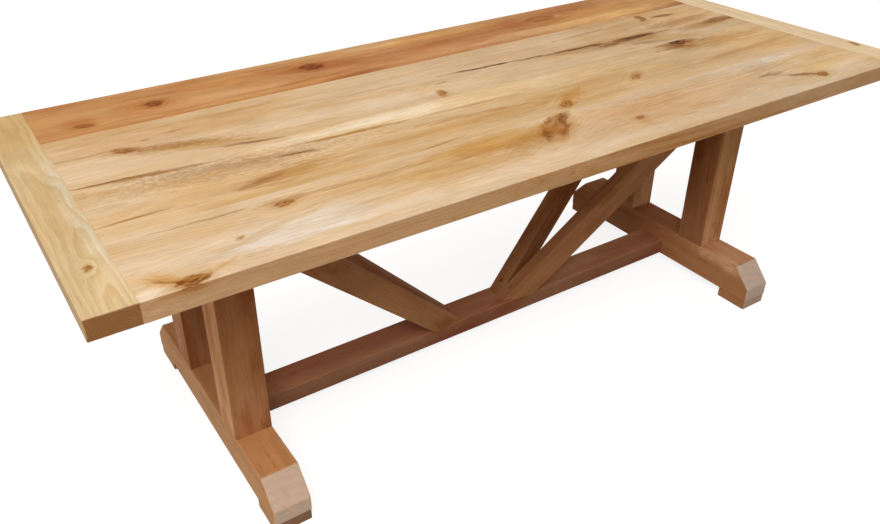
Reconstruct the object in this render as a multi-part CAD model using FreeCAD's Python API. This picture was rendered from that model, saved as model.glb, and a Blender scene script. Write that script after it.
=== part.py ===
"""Trestle dining table: a four-board top with breadboard ends on two trestles.

The frame is +Z up, with the origin on the floor under the middle of the table.
X runs along the top and Y across it. All sizes are in millimetres.
"""
import FreeCAD, Part
import math
import os

V = FreeCAD.Vector

# ---- driving dimensions -------------------------------------------------
# Top
TABLE_HEIGHT = 760.0
TOP_LENGTH = 2240.0
TOP_WIDTH = 950.0
TOP_THICKNESS = 44.0
BOARD_WIDTHS = (230.0, 235.0, 261.0, 224.0)  # front to back
BREADBOARD_WIDTH = 90.0
TONGUE_THICKNESS = 14.0
TONGUE_LENGTH = 28.0
TONGUE_SETBACK = 25.0       # the tongue stops short of the long edges
GROOVE_END_GAP = 3.0        # room for the panel to grow across its boards
GROOVE_DEPTH_GAP = 2.0

# Trestles
TRESTLE_X = 790.0           # middle of a trestle from the middle of the table
LEG_THICKNESS = 92.0        # feet, posts and bearers along X
POST_DEPTH = 95.0           # a post along Y
POST_OUTER_Y = 200.0
FOOT_LENGTH = 790.0
FOOT_HEIGHT = 100.0
FOOT_CHAMFER_LENGTH = 56.0
FOOT_CHAMFER_DROP = 60.0
PAD_LENGTH = 100.0
PAD_HEIGHT = 31.0
PAD_INSET = 1.5
BEARER_LENGTH = 760.0
BEARER_HEIGHT = 45.0
BEARER_CHAMFER_LENGTH = 40.0
BEARER_CHAMFER_RISE = 22.0
TENON_THICKNESS = 32.0
TENON_WIDTH = 62.0
WEDGE_SPREAD = 4.0          # how far each half of a wedged tenon is driven out
WEDGE_THICKNESS = 5.5       # at its head
WEDGE_TIP = 1.5
WEDGE_OFFSET = 15.0         # from the middle of the tenon
FOOT_WEDGE_LENGTH = 45.0
BEARER_WEDGE_LENGTH = 30.0

# Stretcher and braces
STRETCHER_WIDTH = 94.0
STRETCHER_THICKNESS = 49.0
STRETCHER_BOTTOM = 32.0
STRETCHER_TENON_LENGTH = 40.0
STRETCHER_TENON_WIDTH = 60.0
STRETCHER_TENON_THICKNESS = 25.0
BRACE_WIDTH = 45.0
BRACE_DEPTH = 70.0
BRACE_FOOT_X = 133.0        # where a brace's middle line meets the stretcher
BRACE_FOOT_Y = 26.0
BRACE_HEAD_Z = 657.0        # where it meets the post
BRACE_TENON_THICKNESS = 22.0
BRACE_TENON_HEIGHT = 45.0
BRACE_TENON_LENGTH = 20.0
BRACE_TENON_DROP = 14.0     # its middle below the brace's own at the post

# Fasteners
PEG_DIAMETER = 10.0
PEG_COVER = 10.0            # wood left above a breadboard peg
PEG_SLOT_LENGTH = 18.0      # slot in the outer boards' tongues
STRETCHER_PEG_DIAMETER = 12.0
STRETCHER_PEG_LENGTH = 52.0
SCREW_SHANK = 5.0
SHANK_SIDES = 12
BRACE_SCREW_LENGTH = 70.0
BRACE_SCREW_HEAD = 10.0
BRACE_SCREW_HEAD_HEIGHT = 3.0
BRACE_SCREW_SETBACK = 33.0  # from the toe of the brace
BRACE_SCREW_BORE = 11.0
TOP_SCREW_LENGTH = 60.0
TOP_SCREW_HEAD = 14.0
TOP_SCREW_HEAD_HEIGHT = 3.0
TOP_SCREW_Y = (50.0, 300.0)
TOP_SCREW_RECESS_DEPTH = 14.0
TOP_SCREW_RECESS_WIDTH = 18.0
TOP_SCREW_SLOT_WIDTH = 6.0
TOP_SCREW_TRAVEL = 10.0     # how far the top may move on its screws

# Edges
TOP_ARRIS = 2.5
LEG_ARRIS = 3.0
PAD_ARRIS = 1.5

# ---- sizes that follow --------------------------------------------------
TOP_UNDERSIDE = TABLE_HEIGHT - TOP_THICKNESS
PANEL_END = TOP_LENGTH / 2 - BREADBOARD_WIDTH
FOOT_TOP = PAD_HEIGHT + FOOT_HEIGHT
BEARER_UNDERSIDE = TOP_UNDERSIDE - BEARER_HEIGHT
POST_MIDDLE_Y = POST_OUTER_Y - POST_DEPTH / 2
TRESTLE_INNER_X = TRESTLE_X - LEG_THICKNESS / 2
STRETCHER_TOP = STRETCHER_BOTTOM + STRETCHER_THICKNESS
BRACE_RUN = TRESTLE_INNER_X - BRACE_FOOT_X
BRACE_RISE = BRACE_HEAD_Z - STRETCHER_TOP
BRACE_SPLAY = math.atan2(POST_MIDDLE_Y - BRACE_FOOT_Y, BRACE_RUN)
BRACE_PLAN_RUN = BRACE_RUN / math.cos(BRACE_SPLAY)
BRACE_SLOPE = math.atan2(BRACE_RISE, BRACE_PLAN_RUN)

UP = V(0, 0, 1)
DOWN = V(0, 0, -1)
SIDES = (("left", -1), ("right", 1))
FACES = (("front", -1), ("back", 1))


# ---- helpers ------------------------------------------------------------
def block(x, y, z):
    """A box from three (low, high) pairs."""
    size = [high - low for low, high in (x, y, z)]
    return Part.makeBox(*size, V(x[0], y[0], z[0]))


def centred(middle, width):
    """The (low, high) pair of a width about its middle."""
    return (middle - width / 2, middle + width / 2)


def span(a, b):
    """The (low, high) pair between two values given in any order."""
    return (min(a, b), max(a, b))


def prism_x(outline, x):
    """Extrude a closed (y, z) outline between two values of x."""
    points = [V(x[0], across, height) for across, height in outline]
    face = Part.Face(Part.makePolygon(points + points[:1]))
    return face.extrude(V(x[1] - x[0], 0, 0))


def ease(shape, width, wanted):
    """Plane a small flat on the edges whose middle point passes the test."""
    edges = [edge for edge in shape.Edges if wanted(edge.BoundBox.Center)]
    return shape.makeChamfer(width, edges)


def bore(start, direction, diameter, length):
    """A cylinder from a start point along a direction."""
    return Part.makeCylinder(diameter / 2, length, start, direction)


def slot_y(x, y, z, width, length):
    """An upright slot with round ends, its long way along Y."""
    straight = (length - width) / 2
    middle = block(centred(x, width), centred(y, 2 * straight), z)
    ends = [bore(V(x, y + shift, z[0]), UP, width, z[1] - z[0])
            for shift in (-straight, straight)]
    return middle.fuse(ends).removeSplitter()


def shank(start, direction, length):
    """A screw's shank as a many-sided rod, because its thread is left out."""
    radius = SCREW_SHANK / 2
    turns = [2 * math.pi * side / SHANK_SIDES for side in range(SHANK_SIDES)]
    corners = [V(radius * math.cos(turn), radius * math.sin(turn), 0) for turn in turns]
    rod = Part.Face(Part.makePolygon(corners + corners[:1])).extrude(V(0, 0, length))
    rod.Placement = FreeCAD.Placement(start, FreeCAD.Rotation(UP, direction))
    return rod


def seat_in(wood, fasteners):
    """Cut the seats of the fasteners that pass through a timber."""
    near = [one for one in fasteners if wood.BoundBox.intersect(one.BoundBox)]
    return wood.cut(near) if near else wood


# ---- fasteners ----------------------------------------------------------
def breadboard_pegs():
    """One peg through each board's tongue, driven up from underneath."""
    pegs = []
    length = TOP_THICKNESS - PEG_COVER
    for _, side in SIDES:
        x = side * (PANEL_END + TONGUE_LENGTH / 2)
        for low, high in board_spans():
            start = V(x, (low + high) / 2, TOP_UNDERSIDE)
            pegs.append(bore(start, UP, PEG_DIAMETER, length))
    return pegs


def stretcher_pegs():
    """A peg up through each foot into the stretcher's tenon."""
    x = TRESTLE_INNER_X + STRETCHER_TENON_LENGTH / 2
    return [bore(V(side * x, 0, PAD_HEIGHT), UP, STRETCHER_PEG_DIAMETER, STRETCHER_PEG_LENGTH)
            for _, side in SIDES]


def top_screw_seats():
    """Where the pan heads bear, at the end of each recess."""
    z = BEARER_UNDERSIDE + TOP_SCREW_RECESS_DEPTH
    return [V(side * TRESTLE_X, face * y, z)
            for _, side in SIDES for _, face in FACES for y in TOP_SCREW_Y]


def top_screws():
    """Pan-head screws up through the bearers' slots into the boards."""
    screws = []
    for seat in top_screw_seats():
        head = bore(seat, DOWN, TOP_SCREW_HEAD, TOP_SCREW_HEAD_HEIGHT)
        screws.append(head.fuse(shank(seat, UP, TOP_SCREW_LENGTH)))
    return screws


def brace_screws():
    """An upright countersunk screw through each brace's toe into the stretcher."""
    screws = []
    for middle in brace_screw_heads():
        head = Part.makeCone(BRACE_SCREW_HEAD / 2, SCREW_SHANK / 2, BRACE_SCREW_HEAD_HEIGHT,
                             middle, DOWN)
        screws.append(head.fuse(shank(middle, DOWN, BRACE_SCREW_LENGTH)).removeSplitter())
    return screws


def brace_screw_heads():
    """The middles of those screws' heads, just under the brace's upper face."""
    half_cut = BRACE_DEPTH / 2 / math.sin(BRACE_SLOPE)
    along = BRACE_SCREW_SETBACK - half_cut
    x = BRACE_FOOT_X + along * math.cos(BRACE_SPLAY)
    y = BRACE_FOOT_Y + along * math.sin(BRACE_SPLAY)
    upper_face = STRETCHER_TOP + BRACE_SCREW_SETBACK * math.tan(BRACE_SLOPE)
    z = upper_face - BRACE_SCREW_HEAD / 2
    return [V(side * x, face * y, z) for _, side in SIDES for _, face in FACES]


# ---- top ----------------------------------------------------------------
def board_spans():
    """The (front, back) edges of the boards."""
    spans = []
    front = -TOP_WIDTH / 2
    for width in BOARD_WIDTHS:
        spans.append((front, front + width))
        front += width
    return spans


def tongue_span(y):
    """The part of a board's width that carries tongue."""
    limit = TOP_WIDTH / 2 - TONGUE_SETBACK
    return (max(y[0], -limit), min(y[1], limit))


def top_board(y, pegs, screws):
    """A long board with a tongue on both ends.

    The pegs hold the middle boards tight and let the outer ones move.
    """
    edge = TOP_WIDTH / 2
    through = centred(TABLE_HEIGHT - TOP_THICKNESS / 2, TONGUE_THICKNESS)
    is_outer = max(abs(y[0]), abs(y[1])) == edge
    board = block((-PANEL_END, PANEL_END), y, (TOP_UNDERSIDE, TABLE_HEIGHT))
    if is_outer:
        board = ease(board, TOP_ARRIS, lambda at: abs(at.y) == edge and abs(at.x) < 1)
    tongue = block((-PANEL_END - TONGUE_LENGTH, PANEL_END + TONGUE_LENGTH), tongue_span(y), through)
    board = board.fuse(tongue).removeSplitter()
    if is_outer:
        for _, side in SIDES:
            x = side * (PANEL_END + TONGUE_LENGTH / 2)
            board = board.cut(slot_y(x, sum(y) / 2, through, PEG_DIAMETER, PEG_SLOT_LENGTH))
    return seat_in(board, pegs + screws)


def breadboard(side, pegs):
    """A cross board with a stopped groove that takes the tongues."""
    middle_z = TABLE_HEIGHT - TOP_THICKNESS / 2
    inner = side * PANEL_END
    outer = side * TOP_LENGTH / 2
    edge = TOP_WIDTH / 2
    board = block(span(inner, outer), (-edge, edge), (TOP_UNDERSIDE, TABLE_HEIGHT))
    board = ease(board, TOP_ARRIS, lambda at: abs(at.x - inner) > 1)
    reach = TONGUE_LENGTH + GROOVE_DEPTH_GAP
    half_groove = edge - TONGUE_SETBACK + GROOVE_END_GAP
    groove = block(span(inner, inner + side * reach), (-half_groove, half_groove),
                   centred(middle_z, TONGUE_THICKNESS))
    return seat_in(board.cut(groove), pegs)


# ---- trestles -----------------------------------------------------------
def trestle_x(side):
    """The (low, high) faces of a trestle's timbers."""
    return centred(side * TRESTLE_X, LEG_THICKNESS)


def wedged_tenon(side, face, shoulder, mouth, wedge_length):
    """The room of a through tenon that flares towards its mouth."""
    middle = face * POST_MIDDLE_Y
    half = TENON_WIDTH / 2
    wide = half + WEDGE_SPREAD
    bend = mouth + math.copysign(wedge_length, shoulder - mouth)
    outline = [(middle - half, shoulder), (middle + half, shoulder), (middle + half, bend),
               (middle + wide, mouth), (middle - wide, mouth), (middle - half, bend)]
    return prism_x(outline, centred(side * TRESTLE_X, TENON_THICKNESS))


def foot_tenon(side, face):
    """The room of a post's lower tenon, with its mouth under the foot."""
    return wedged_tenon(side, face, FOOT_TOP, PAD_HEIGHT, FOOT_WEDGE_LENGTH)


def bearer_tenon(side, face):
    """The room of a post's upper tenon, with its mouth on top of the bearer."""
    return wedged_tenon(side, face, BEARER_UNDERSIDE, TOP_UNDERSIDE, BEARER_WEDGE_LENGTH)


def wedges(mouth, tip):
    """Two wedges for each of the four tenons at one level."""
    made = []
    for _, side in SIDES:
        for _, face in FACES:
            for shift in (-WEDGE_OFFSET, WEDGE_OFFSET):
                y = face * POST_MIDDLE_Y + shift
                wide = WEDGE_THICKNESS / 2
                thin = WEDGE_TIP / 2
                outline = [(y - wide, mouth), (y + wide, mouth), (y + thin, tip), (y - thin, tip)]
                made.append(prism_x(outline, centred(side * TRESTLE_X, TENON_THICKNESS)))
    return made


def foot(side, pegs):
    """A sledge foot with its top ends cut away, mortised for posts and stretcher."""
    end = FOOT_LENGTH / 2
    shoulder = end - FOOT_CHAMFER_LENGTH
    cheek = FOOT_TOP - FOOT_CHAMFER_DROP
    outline = [(-end, PAD_HEIGHT), (end, PAD_HEIGHT), (end, cheek), (shoulder, FOOT_TOP),
               (-shoulder, FOOT_TOP), (-end, cheek)]
    beam = prism_x(outline, trestle_x(side))
    middle = side * TRESTLE_X
    beam = ease(beam, LEG_ARRIS, lambda at: at.z > PAD_HEIGHT + 1 and abs(at.x - middle) > 1)
    beam = beam.cut([foot_tenon(side, face) for _, face in FACES] + [stretcher_tenon(side)])
    return seat_in(beam, pegs)


def pad(side, face):
    """A block glued under one end of a foot, to lift it off the floor."""
    end = FOOT_LENGTH / 2
    x = centred(side * TRESTLE_X, LEG_THICKNESS - 2 * PAD_INSET)
    y = span(face * (end - PAD_LENGTH), face * (end - PAD_INSET))
    return ease(block(x, y, (0, PAD_HEIGHT)), PAD_ARRIS, lambda at: at.z < PAD_HEIGHT - 1)


def post(side, face, wedge_solids):
    """An upright with a wedged through tenon at each end."""
    body = block(trestle_x(side), centred(face * POST_MIDDLE_Y, POST_DEPTH),
                 (FOOT_TOP, BEARER_UNDERSIDE))
    level = (FOOT_TOP + BEARER_UNDERSIDE) / 2
    body = ease(body, LEG_ARRIS, lambda at: abs(at.z - level) < 1)
    body = body.fuse([foot_tenon(side, face), bearer_tenon(side, face)]).removeSplitter()
    return seat_in(body, wedge_solids).cut(brace_tenon(side, face))


def bearer(side):
    """The rail under the top that joins a trestle's posts."""
    end = BEARER_LENGTH / 2
    low = BEARER_UNDERSIDE
    lip = low + BEARER_CHAMFER_RISE
    shoulder = end - BEARER_CHAMFER_LENGTH
    outline = [(-shoulder, low), (shoulder, low), (end, lip), (end, TOP_UNDERSIDE),
               (-end, TOP_UNDERSIDE), (-end, lip)]
    rail = prism_x(outline, trestle_x(side))
    middle = side * TRESTLE_X
    rail = ease(rail, LEG_ARRIS, lambda at: at.z < TOP_UNDERSIDE - 1 and abs(at.x - middle) > 1)
    rail = rail.cut([bearer_tenon(side, face) for _, face in FACES])
    return rail.cut([top_screw_slot(seat) for seat in top_screw_seats() if seat.x * side > 0])


def top_screw_slot(seat):
    """A long recess and a slot, so that the top can move on its screw."""
    recess = block(centred(seat.x, TOP_SCREW_RECESS_WIDTH),
                   centred(seat.y, TOP_SCREW_RECESS_WIDTH + TOP_SCREW_TRAVEL),
                   (BEARER_UNDERSIDE, seat.z))
    slot = block(centred(seat.x, TOP_SCREW_SLOT_WIDTH),
                 centred(seat.y, TOP_SCREW_SLOT_WIDTH + TOP_SCREW_TRAVEL),
                 (seat.z, TOP_UNDERSIDE))
    return recess.fuse(slot)


# ---- stretcher and braces -----------------------------------------------
def stretcher_tenon(side):
    """The stub tenon that enters a foot."""
    middle_z = STRETCHER_BOTTOM + STRETCHER_THICKNESS / 2
    inner = side * TRESTLE_INNER_X
    return block(span(inner, inner + side * STRETCHER_TENON_LENGTH),
                 centred(0, STRETCHER_TENON_WIDTH),
                 centred(middle_z, STRETCHER_TENON_THICKNESS))


def stretcher(fasteners):
    """The low flat rail between the feet."""
    body = block((-TRESTLE_INNER_X, TRESTLE_INNER_X), centred(0, STRETCHER_WIDTH),
                 (STRETCHER_BOTTOM, STRETCHER_TOP))
    body = ease(body, LEG_ARRIS, lambda at: abs(at.x) < 1)
    body = body.fuse([stretcher_tenon(side) for _, side in SIDES]).removeSplitter()
    return seat_in(body, fasteners)


def brace_tenon(side, face):
    """The stub tenon of a brace's head, level in its post."""
    inner = side * TRESTLE_INNER_X
    return block(span(inner, inner + side * BRACE_TENON_LENGTH),
                 centred(face * POST_MIDDLE_Y, BRACE_TENON_THICKNESS),
                 centred(BRACE_HEAD_Z - BRACE_TENON_DROP, BRACE_TENON_HEIGHT))


def brace(side, face, screws):
    """A sloping strut from the middle of the stretcher to the head of a post.

    It is sawn at a compound angle: level on the stretcher, upright against the
    post, and upright on the middle plane where it meets its neighbour.
    """
    spare = BRACE_DEPTH * 2
    length = BRACE_PLAN_RUN / math.cos(BRACE_SLOPE) + 2 * spare
    strut = Part.makeBox(length, BRACE_WIDTH, BRACE_DEPTH,
                         V(-spare, -BRACE_WIDTH / 2, -BRACE_DEPTH / 2))
    strut = ease(strut, LEG_ARRIS, lambda at: abs(at.x - (length / 2 - spare)) < 1)
    strut.rotate(V(0, 0, 0), V(0, 1, 0), -math.degrees(BRACE_SLOPE))
    strut.rotate(V(0, 0, 0), UP, math.degrees(BRACE_SPLAY))
    strut.translate(V(BRACE_FOOT_X, BRACE_FOOT_Y, STRETCHER_TOP))
    room = block((0, TRESTLE_INNER_X), (0, TOP_WIDTH / 2), (STRETCHER_TOP, TOP_UNDERSIDE))
    strut = strut.common(room)
    if side < 0:
        strut = strut.mirror(V(0, 0, 0), V(1, 0, 0))
    if face < 0:
        strut = strut.mirror(V(0, 0, 0), V(0, 1, 0))
    strut = strut.fuse(brace_tenon(side, face)).removeSplitter()
    near = [head for head in brace_screw_heads() if head.x * side > 0 and head.y * face > 0]
    strut = strut.cut([bore(head, UP, BRACE_SCREW_BORE, BRACE_DEPTH) for head in near])
    return seat_in(strut, screws)


# ---- the table ----------------------------------------------------------
def build():
    """Make every node of the table."""
    pegs = breadboard_pegs()
    low_pegs = stretcher_pegs()
    into_top = top_screws()
    into_stretcher = brace_screws()
    foot_wedges = wedges(PAD_HEIGHT, PAD_HEIGHT + FOOT_WEDGE_LENGTH)
    bearer_wedges = wedges(TOP_UNDERSIDE, TOP_UNDERSIDE - BEARER_WEDGE_LENGTH)

    nodes = {
        "stretcher": stretcher(low_pegs + into_stretcher),
        "breadboard_pegs": Part.makeCompound(pegs),
        "stretcher_pegs": Part.makeCompound(low_pegs),
        "foot_wedges": Part.makeCompound(foot_wedges),
        "bearer_wedges": Part.makeCompound(bearer_wedges),
        "top_fixing_screws": Part.makeCompound(into_top),
        "brace_foot_screws": Part.makeCompound(into_stretcher),
    }
    for number, y in enumerate(board_spans(), 1):
        nodes[f"top_board_{number}"] = top_board(y, pegs, into_top)
    for side_name, side in SIDES:
        nodes[f"breadboard_end_{side_name}"] = breadboard(side, pegs)
        nodes[f"foot_{side_name}"] = foot(side, low_pegs)
        nodes[f"bearer_{side_name}"] = bearer(side)
        for face_name, face in FACES:
            place = f"{side_name}_{face_name}"
            nodes[f"pad_{place}"] = pad(side, face)
            nodes[f"post_{place}"] = post(side, face, foot_wedges + bearer_wedges)
            nodes[f"brace_{place}"] = brace(side, face, into_stretcher)
    return nodes


os.makedirs("parts", exist_ok=True)
for node_name, solid in build().items():
    solid.exportStep(f"parts/{node_name}.step")
    print(node_name, "solids", len(solid.Solids), "valid", solid.isValid())
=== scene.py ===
"""A trestle dining table: its timbers, joints, finishes, light and camera.

Metres, +Z up, with the origin on the floor under the middle of the table.
X runs along the top and Y across it, towards the back.
"""
import math
from collections import namedtuple

import bmesh
import bpy
from mathutils import Euler, Matrix, Vector, noise


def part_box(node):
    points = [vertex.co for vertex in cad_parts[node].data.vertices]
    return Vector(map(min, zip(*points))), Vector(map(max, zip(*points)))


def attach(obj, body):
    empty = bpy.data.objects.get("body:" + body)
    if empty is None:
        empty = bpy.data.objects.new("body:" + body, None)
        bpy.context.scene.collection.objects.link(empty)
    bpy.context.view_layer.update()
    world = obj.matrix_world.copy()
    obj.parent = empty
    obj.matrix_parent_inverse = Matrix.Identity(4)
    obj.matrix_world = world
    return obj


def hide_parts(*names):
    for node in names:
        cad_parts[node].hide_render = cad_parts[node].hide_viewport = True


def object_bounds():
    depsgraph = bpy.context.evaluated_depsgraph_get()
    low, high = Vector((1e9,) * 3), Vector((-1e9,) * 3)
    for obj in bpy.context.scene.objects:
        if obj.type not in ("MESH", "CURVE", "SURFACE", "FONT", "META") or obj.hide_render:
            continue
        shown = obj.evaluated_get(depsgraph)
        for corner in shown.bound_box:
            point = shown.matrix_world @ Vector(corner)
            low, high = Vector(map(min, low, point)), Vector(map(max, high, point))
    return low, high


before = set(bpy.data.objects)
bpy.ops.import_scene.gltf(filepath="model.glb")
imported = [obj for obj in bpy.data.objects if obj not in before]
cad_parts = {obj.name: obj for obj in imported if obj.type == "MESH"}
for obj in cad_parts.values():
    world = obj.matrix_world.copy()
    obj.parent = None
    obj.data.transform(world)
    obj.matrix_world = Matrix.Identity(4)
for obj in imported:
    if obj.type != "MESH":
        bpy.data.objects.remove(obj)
cad_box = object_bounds()

MM = 0.001
X = Vector((1, 0, 0))
Y = Vector((0, 1, 0))
Z = Vector((0, 0, 1))
SIDES = (("left", -1), ("right", 1))
FACES = (("front", -1), ("back", 1))

# The turns that carry a timber's own X axis, its grain, to an axis of the table
LENGTHWISE = (0, 0, 0)
CROSSWISE = (0, 0, math.pi / 2)
UPRIGHT = (0, -math.pi / 2, 0)

# ---- sizes; the rest are read from the frame ------------------------------
TOP_ARRIS = 2.5 * MM
JOINT_ARRIS = 0.25 * MM
LEG_ARRIS = 3 * MM
PAD_ARRIS = 1.5 * MM
KEY_ARRIS = 0.5 * MM
SLICE = 60 * MM             # spacing of the cuts that let a face be uneven
PLANING = 0.25 * MM         # how far a hand-planed face wanders
PLANE_WAVES = 9             # waves that the plane leaves in a metre
ROOT = 6 * MM               # how far a tenon is carried into its own timber
OVER = 1 * MM               # how far a cutter reaches past the face that it opens
HAIR = 0.02 * MM            # how far the top's outer faces are planed inside its full size

ON_CUT = 1e-7               # a point this near to a cut lies on it
SAME_POINT = 1e-6           # points this near to each other are one
SPECK = 2e-6                # shorter edges, which cuts leave in triangles with no area, go
SHARP = math.radians(20)    # an edge that turns further than this can be eased
SMOOTH = math.radians(35)   # an edge that turns less than this is shaded as round
ALONG = 0.9                 # an edge runs along an axis if this much of it does
SQUARE = 0.1                # an edge lies square to an axis if less than this runs along it
FACETS = 24                 # sides of a round bar or head
FEW_FACETS = 12             # sides of a screw hole, and steps in a turn of a thread

FOOT_CHAMFER = (56 * MM, 60 * MM)
BEARER_CHAMFER = (40 * MM, 22 * MM)

TONGUE_THICKNESS = 14 * MM
TONGUE_SETBACK = 25 * MM
GROOVE_END_GAP = 3 * MM
GROOVE_DEPTH_GAP = 2 * MM
POST_TENON = (32 * MM, 62 * MM)
WEDGE_SPREAD = 4 * MM
FOOT_WEDGE_LENGTH = 45 * MM
BEARER_WEDGE_LENGTH = 30 * MM
STRETCHER_TENON = (60 * MM, 25 * MM)

BRACE_WIDTH = 45 * MM
BRACE_DEPTH = 70 * MM
BRACE_FOOT = Vector((133 * MM, 26 * MM, 81 * MM))
BRACE_HEAD = Vector((744 * MM, 152.5 * MM, 657 * MM))
BRACE_RUN = (BRACE_HEAD - BRACE_FOOT).to_2d()
BRACE_SPLAY = math.atan2(BRACE_RUN.y, BRACE_RUN.x)
BRACE_SLOPE = math.atan2(BRACE_HEAD.z - BRACE_FOOT.z, BRACE_RUN.length)
BRACE_TENON = Vector((20 * MM, 22 * MM, 45 * MM))
BRACE_TENON_DROP = 14 * MM

PEG_RADIUS = 5 * MM
PEG_SLOT = 4 * MM           # how far each end of a slot lies from a round hole's
STRETCHER_PEG_RADIUS = 6 * MM
STRETCHER_PEG_LENGTH = 52 * MM
SCREW_RADIUS = 2.5 * MM
SCREW_CORE = 1.7 * MM
SCREW_PITCH = 2.4 * MM
SCREW_POINT = 7 * MM
SCREW_SHANK = 0.4           # the part of a screw's length that has no thread
SCREW_RECESS = 2 * MM
BRACE_SCREW_LENGTH = 70 * MM
BRACE_SCREW_HEAD = 5 * MM
BRACE_SCREW_SETBACK = 33 * MM
BRACE_SCREW_BORE = 5.5 * MM
TOP_SCREW_LENGTH = 60 * MM
TOP_SCREW_HEAD = 7 * MM
TOP_SCREW_HEAD_HEIGHT = 3 * MM
TOP_SCREW_Y = (50 * MM, 300 * MM)
TOP_SCREW_DEPTH = 14 * MM
TOP_SCREW_RECESS = (9 * MM, 14 * MM)
TOP_SCREW_SLOT = (3 * MM, 8 * MM)


def corners(node):
    """The lowest and highest corners of a node, as vectors."""
    low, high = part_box(node)
    return Vector(low), Vector(high)


PANEL_END = corners("breadboard_end_right")[0].x
TONGUE_END = corners("top_board_1")[1].x
TOP_EDGE = cad_box[1][1]
TOP_UNDERSIDE = corners("breadboard_end_right")[0].z
FOOT_TOP = corners("foot_left")[1].z
BEARER_UNDERSIDE = corners("bearer_left")[0].z
TRESTLE_X = (corners("foot_right")[0].x + corners("foot_right")[1].x) / 2


# ---- shaping --------------------------------------------------------------
def blank():
    """An empty mesh that can note which of its faces are eased arrises."""
    mesh = bmesh.new()
    mesh.faces.layers.float.new("arris")
    return mesh


def mesh_data(name, mesh):
    """The data of a mesh, which uses it up."""
    data = bpy.data.meshes.new(name)
    mesh.to_mesh(data)
    mesh.free()
    return data


def add_object(name, data):
    """A new object in the scene."""
    made = bpy.data.objects.new(name, data)
    bpy.context.scene.collection.objects.link(made)
    return made


def block(low, high):
    """A closed box from its two corners."""
    mesh = blank()
    bmesh.ops.create_cube(mesh, size=1)
    bmesh.ops.scale(mesh, vec=Vector(high) - Vector(low), verts=mesh.verts)
    bmesh.ops.translate(mesh, vec=(Vector(high) + Vector(low)) / 2, verts=mesh.verts)
    return mesh


def block_about(middle, size):
    """A closed box about its middle."""
    return block(Vector(middle) - Vector(size) / 2, Vector(middle) + Vector(size) / 2)


def rod(start, rise, radius, sides=FACETS):
    """An upright round bar that rises, or falls, from its start point."""
    mesh = blank()
    bmesh.ops.create_cone(mesh, cap_ends=True, segments=sides, radius1=radius, radius2=radius,
                          depth=abs(rise))
    half_step = Matrix.Rotation(math.pi / sides, 4, "Z")
    bmesh.ops.transform(mesh, matrix=Matrix.Translation(start + Z * rise / 2) @ half_step, verts=mesh.verts)
    return mesh


def hollow(middle, length, width, depth, turn):
    """The room of a shallow pit or an open check in a face."""
    mesh = bmesh.new()
    bmesh.ops.create_uvsphere(mesh, u_segments=16, v_segments=8, radius=1)
    size = Matrix.Diagonal((length, width, depth, 1))
    spin = Matrix.Rotation(math.radians(turn), 4, "Z")
    bmesh.ops.transform(mesh, matrix=Matrix.Translation(middle) @ spin @ size, verts=mesh.verts)
    return mesh


def together(meshes):
    """Several meshes as one, which uses them up."""
    made = blank()
    for mesh in meshes:
        passing = mesh_data("passing", mesh)
        made.from_mesh(passing)
        bpy.data.meshes.remove(passing)
    return made


def merged_copy(*nodes):
    """The shapes of some nodes as one mesh, with their loose triangles merged."""
    made = bmesh.new()
    for node in nodes:
        made.from_mesh(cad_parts[node].data)
    bmesh.ops.remove_doubles(made, verts=made.verts, dist=SAME_POINT)
    return made


def combine(mesh, tools, operation):
    """Cut tools that don't touch each other from a mesh, or join them to it."""
    work = add_object("timber", mesh_data("timber", mesh))
    tool = add_object("tools", mesh_data("tools", together(tools)))
    change = work.modifiers.new("joint", "BOOLEAN")
    change.operation = operation
    change.solver = "EXACT"
    change.object = tool
    shaped = bpy.data.meshes.new_from_object(work.evaluated_get(bpy.context.evaluated_depsgraph_get()))
    made = bmesh.new()
    made.from_mesh(shaped)
    bpy.data.meshes.remove(shaped)
    for used in (work, tool):
        data = used.data
        bpy.data.objects.remove(used)
        bpy.data.meshes.remove(data)
    return made


def cut(mesh, *tools):
    """A mesh with some shapes cut out of it."""
    return combine(mesh, tools, "DIFFERENCE")


def join(mesh, *tools):
    """A mesh with some shapes joined to it."""
    return combine(mesh, tools, "UNION")


def everything(mesh):
    """All of a mesh's geometry, as the operators want it."""
    return mesh.verts[:] + mesh.edges[:] + mesh.faces[:]


def saw(mesh, point, outward):
    """Saw off what lies outward of a plane and close the cut."""
    cut_off = bmesh.ops.bisect_plane(mesh, geom=everything(mesh), dist=ON_CUT, plane_co=point,
                                     plane_no=outward, clear_outer=True)
    rim = [part for part in cut_off["geom_cut"] if isinstance(part, bmesh.types.BMEdge)]
    bmesh.ops.contextual_create(mesh, geom=rim)


def ease(mesh, width, wanted, segments=3):
    """Round the sharp edges whose middle point and direction pass the test."""
    edges = []
    for edge in mesh.edges:
        first, second = (vert.co for vert in edge.verts)
        along = (second - first).normalized()
        if edge.calc_face_angle(0) > SHARP and wanted((first + second) / 2, along):
            edges.append(edge)
    made = bmesh.ops.bevel(mesh, geom=edges, offset=width, offset_type="OFFSET", affect="EDGES",
                           segments=segments, profile=0.5, material=-1, clamp_overlap=True)
    layer = mesh.faces.layers.float["arris"]
    for face in made["faces"]:
        face[layer] = 1


def slices(mesh, along):
    """Cut loops across a timber, so that its faces can be a little uneven."""
    reach = [vert.co.dot(along) for vert in mesh.verts]
    low, high = min(reach), max(reach)
    count = int((high - low) / SLICE)
    for step in range(1, count):
        point = along * (low + (high - low) * step / count)
        bmesh.ops.bisect_plane(mesh, geom=everything(mesh), dist=ON_CUT, plane_co=point, plane_no=along)


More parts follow.
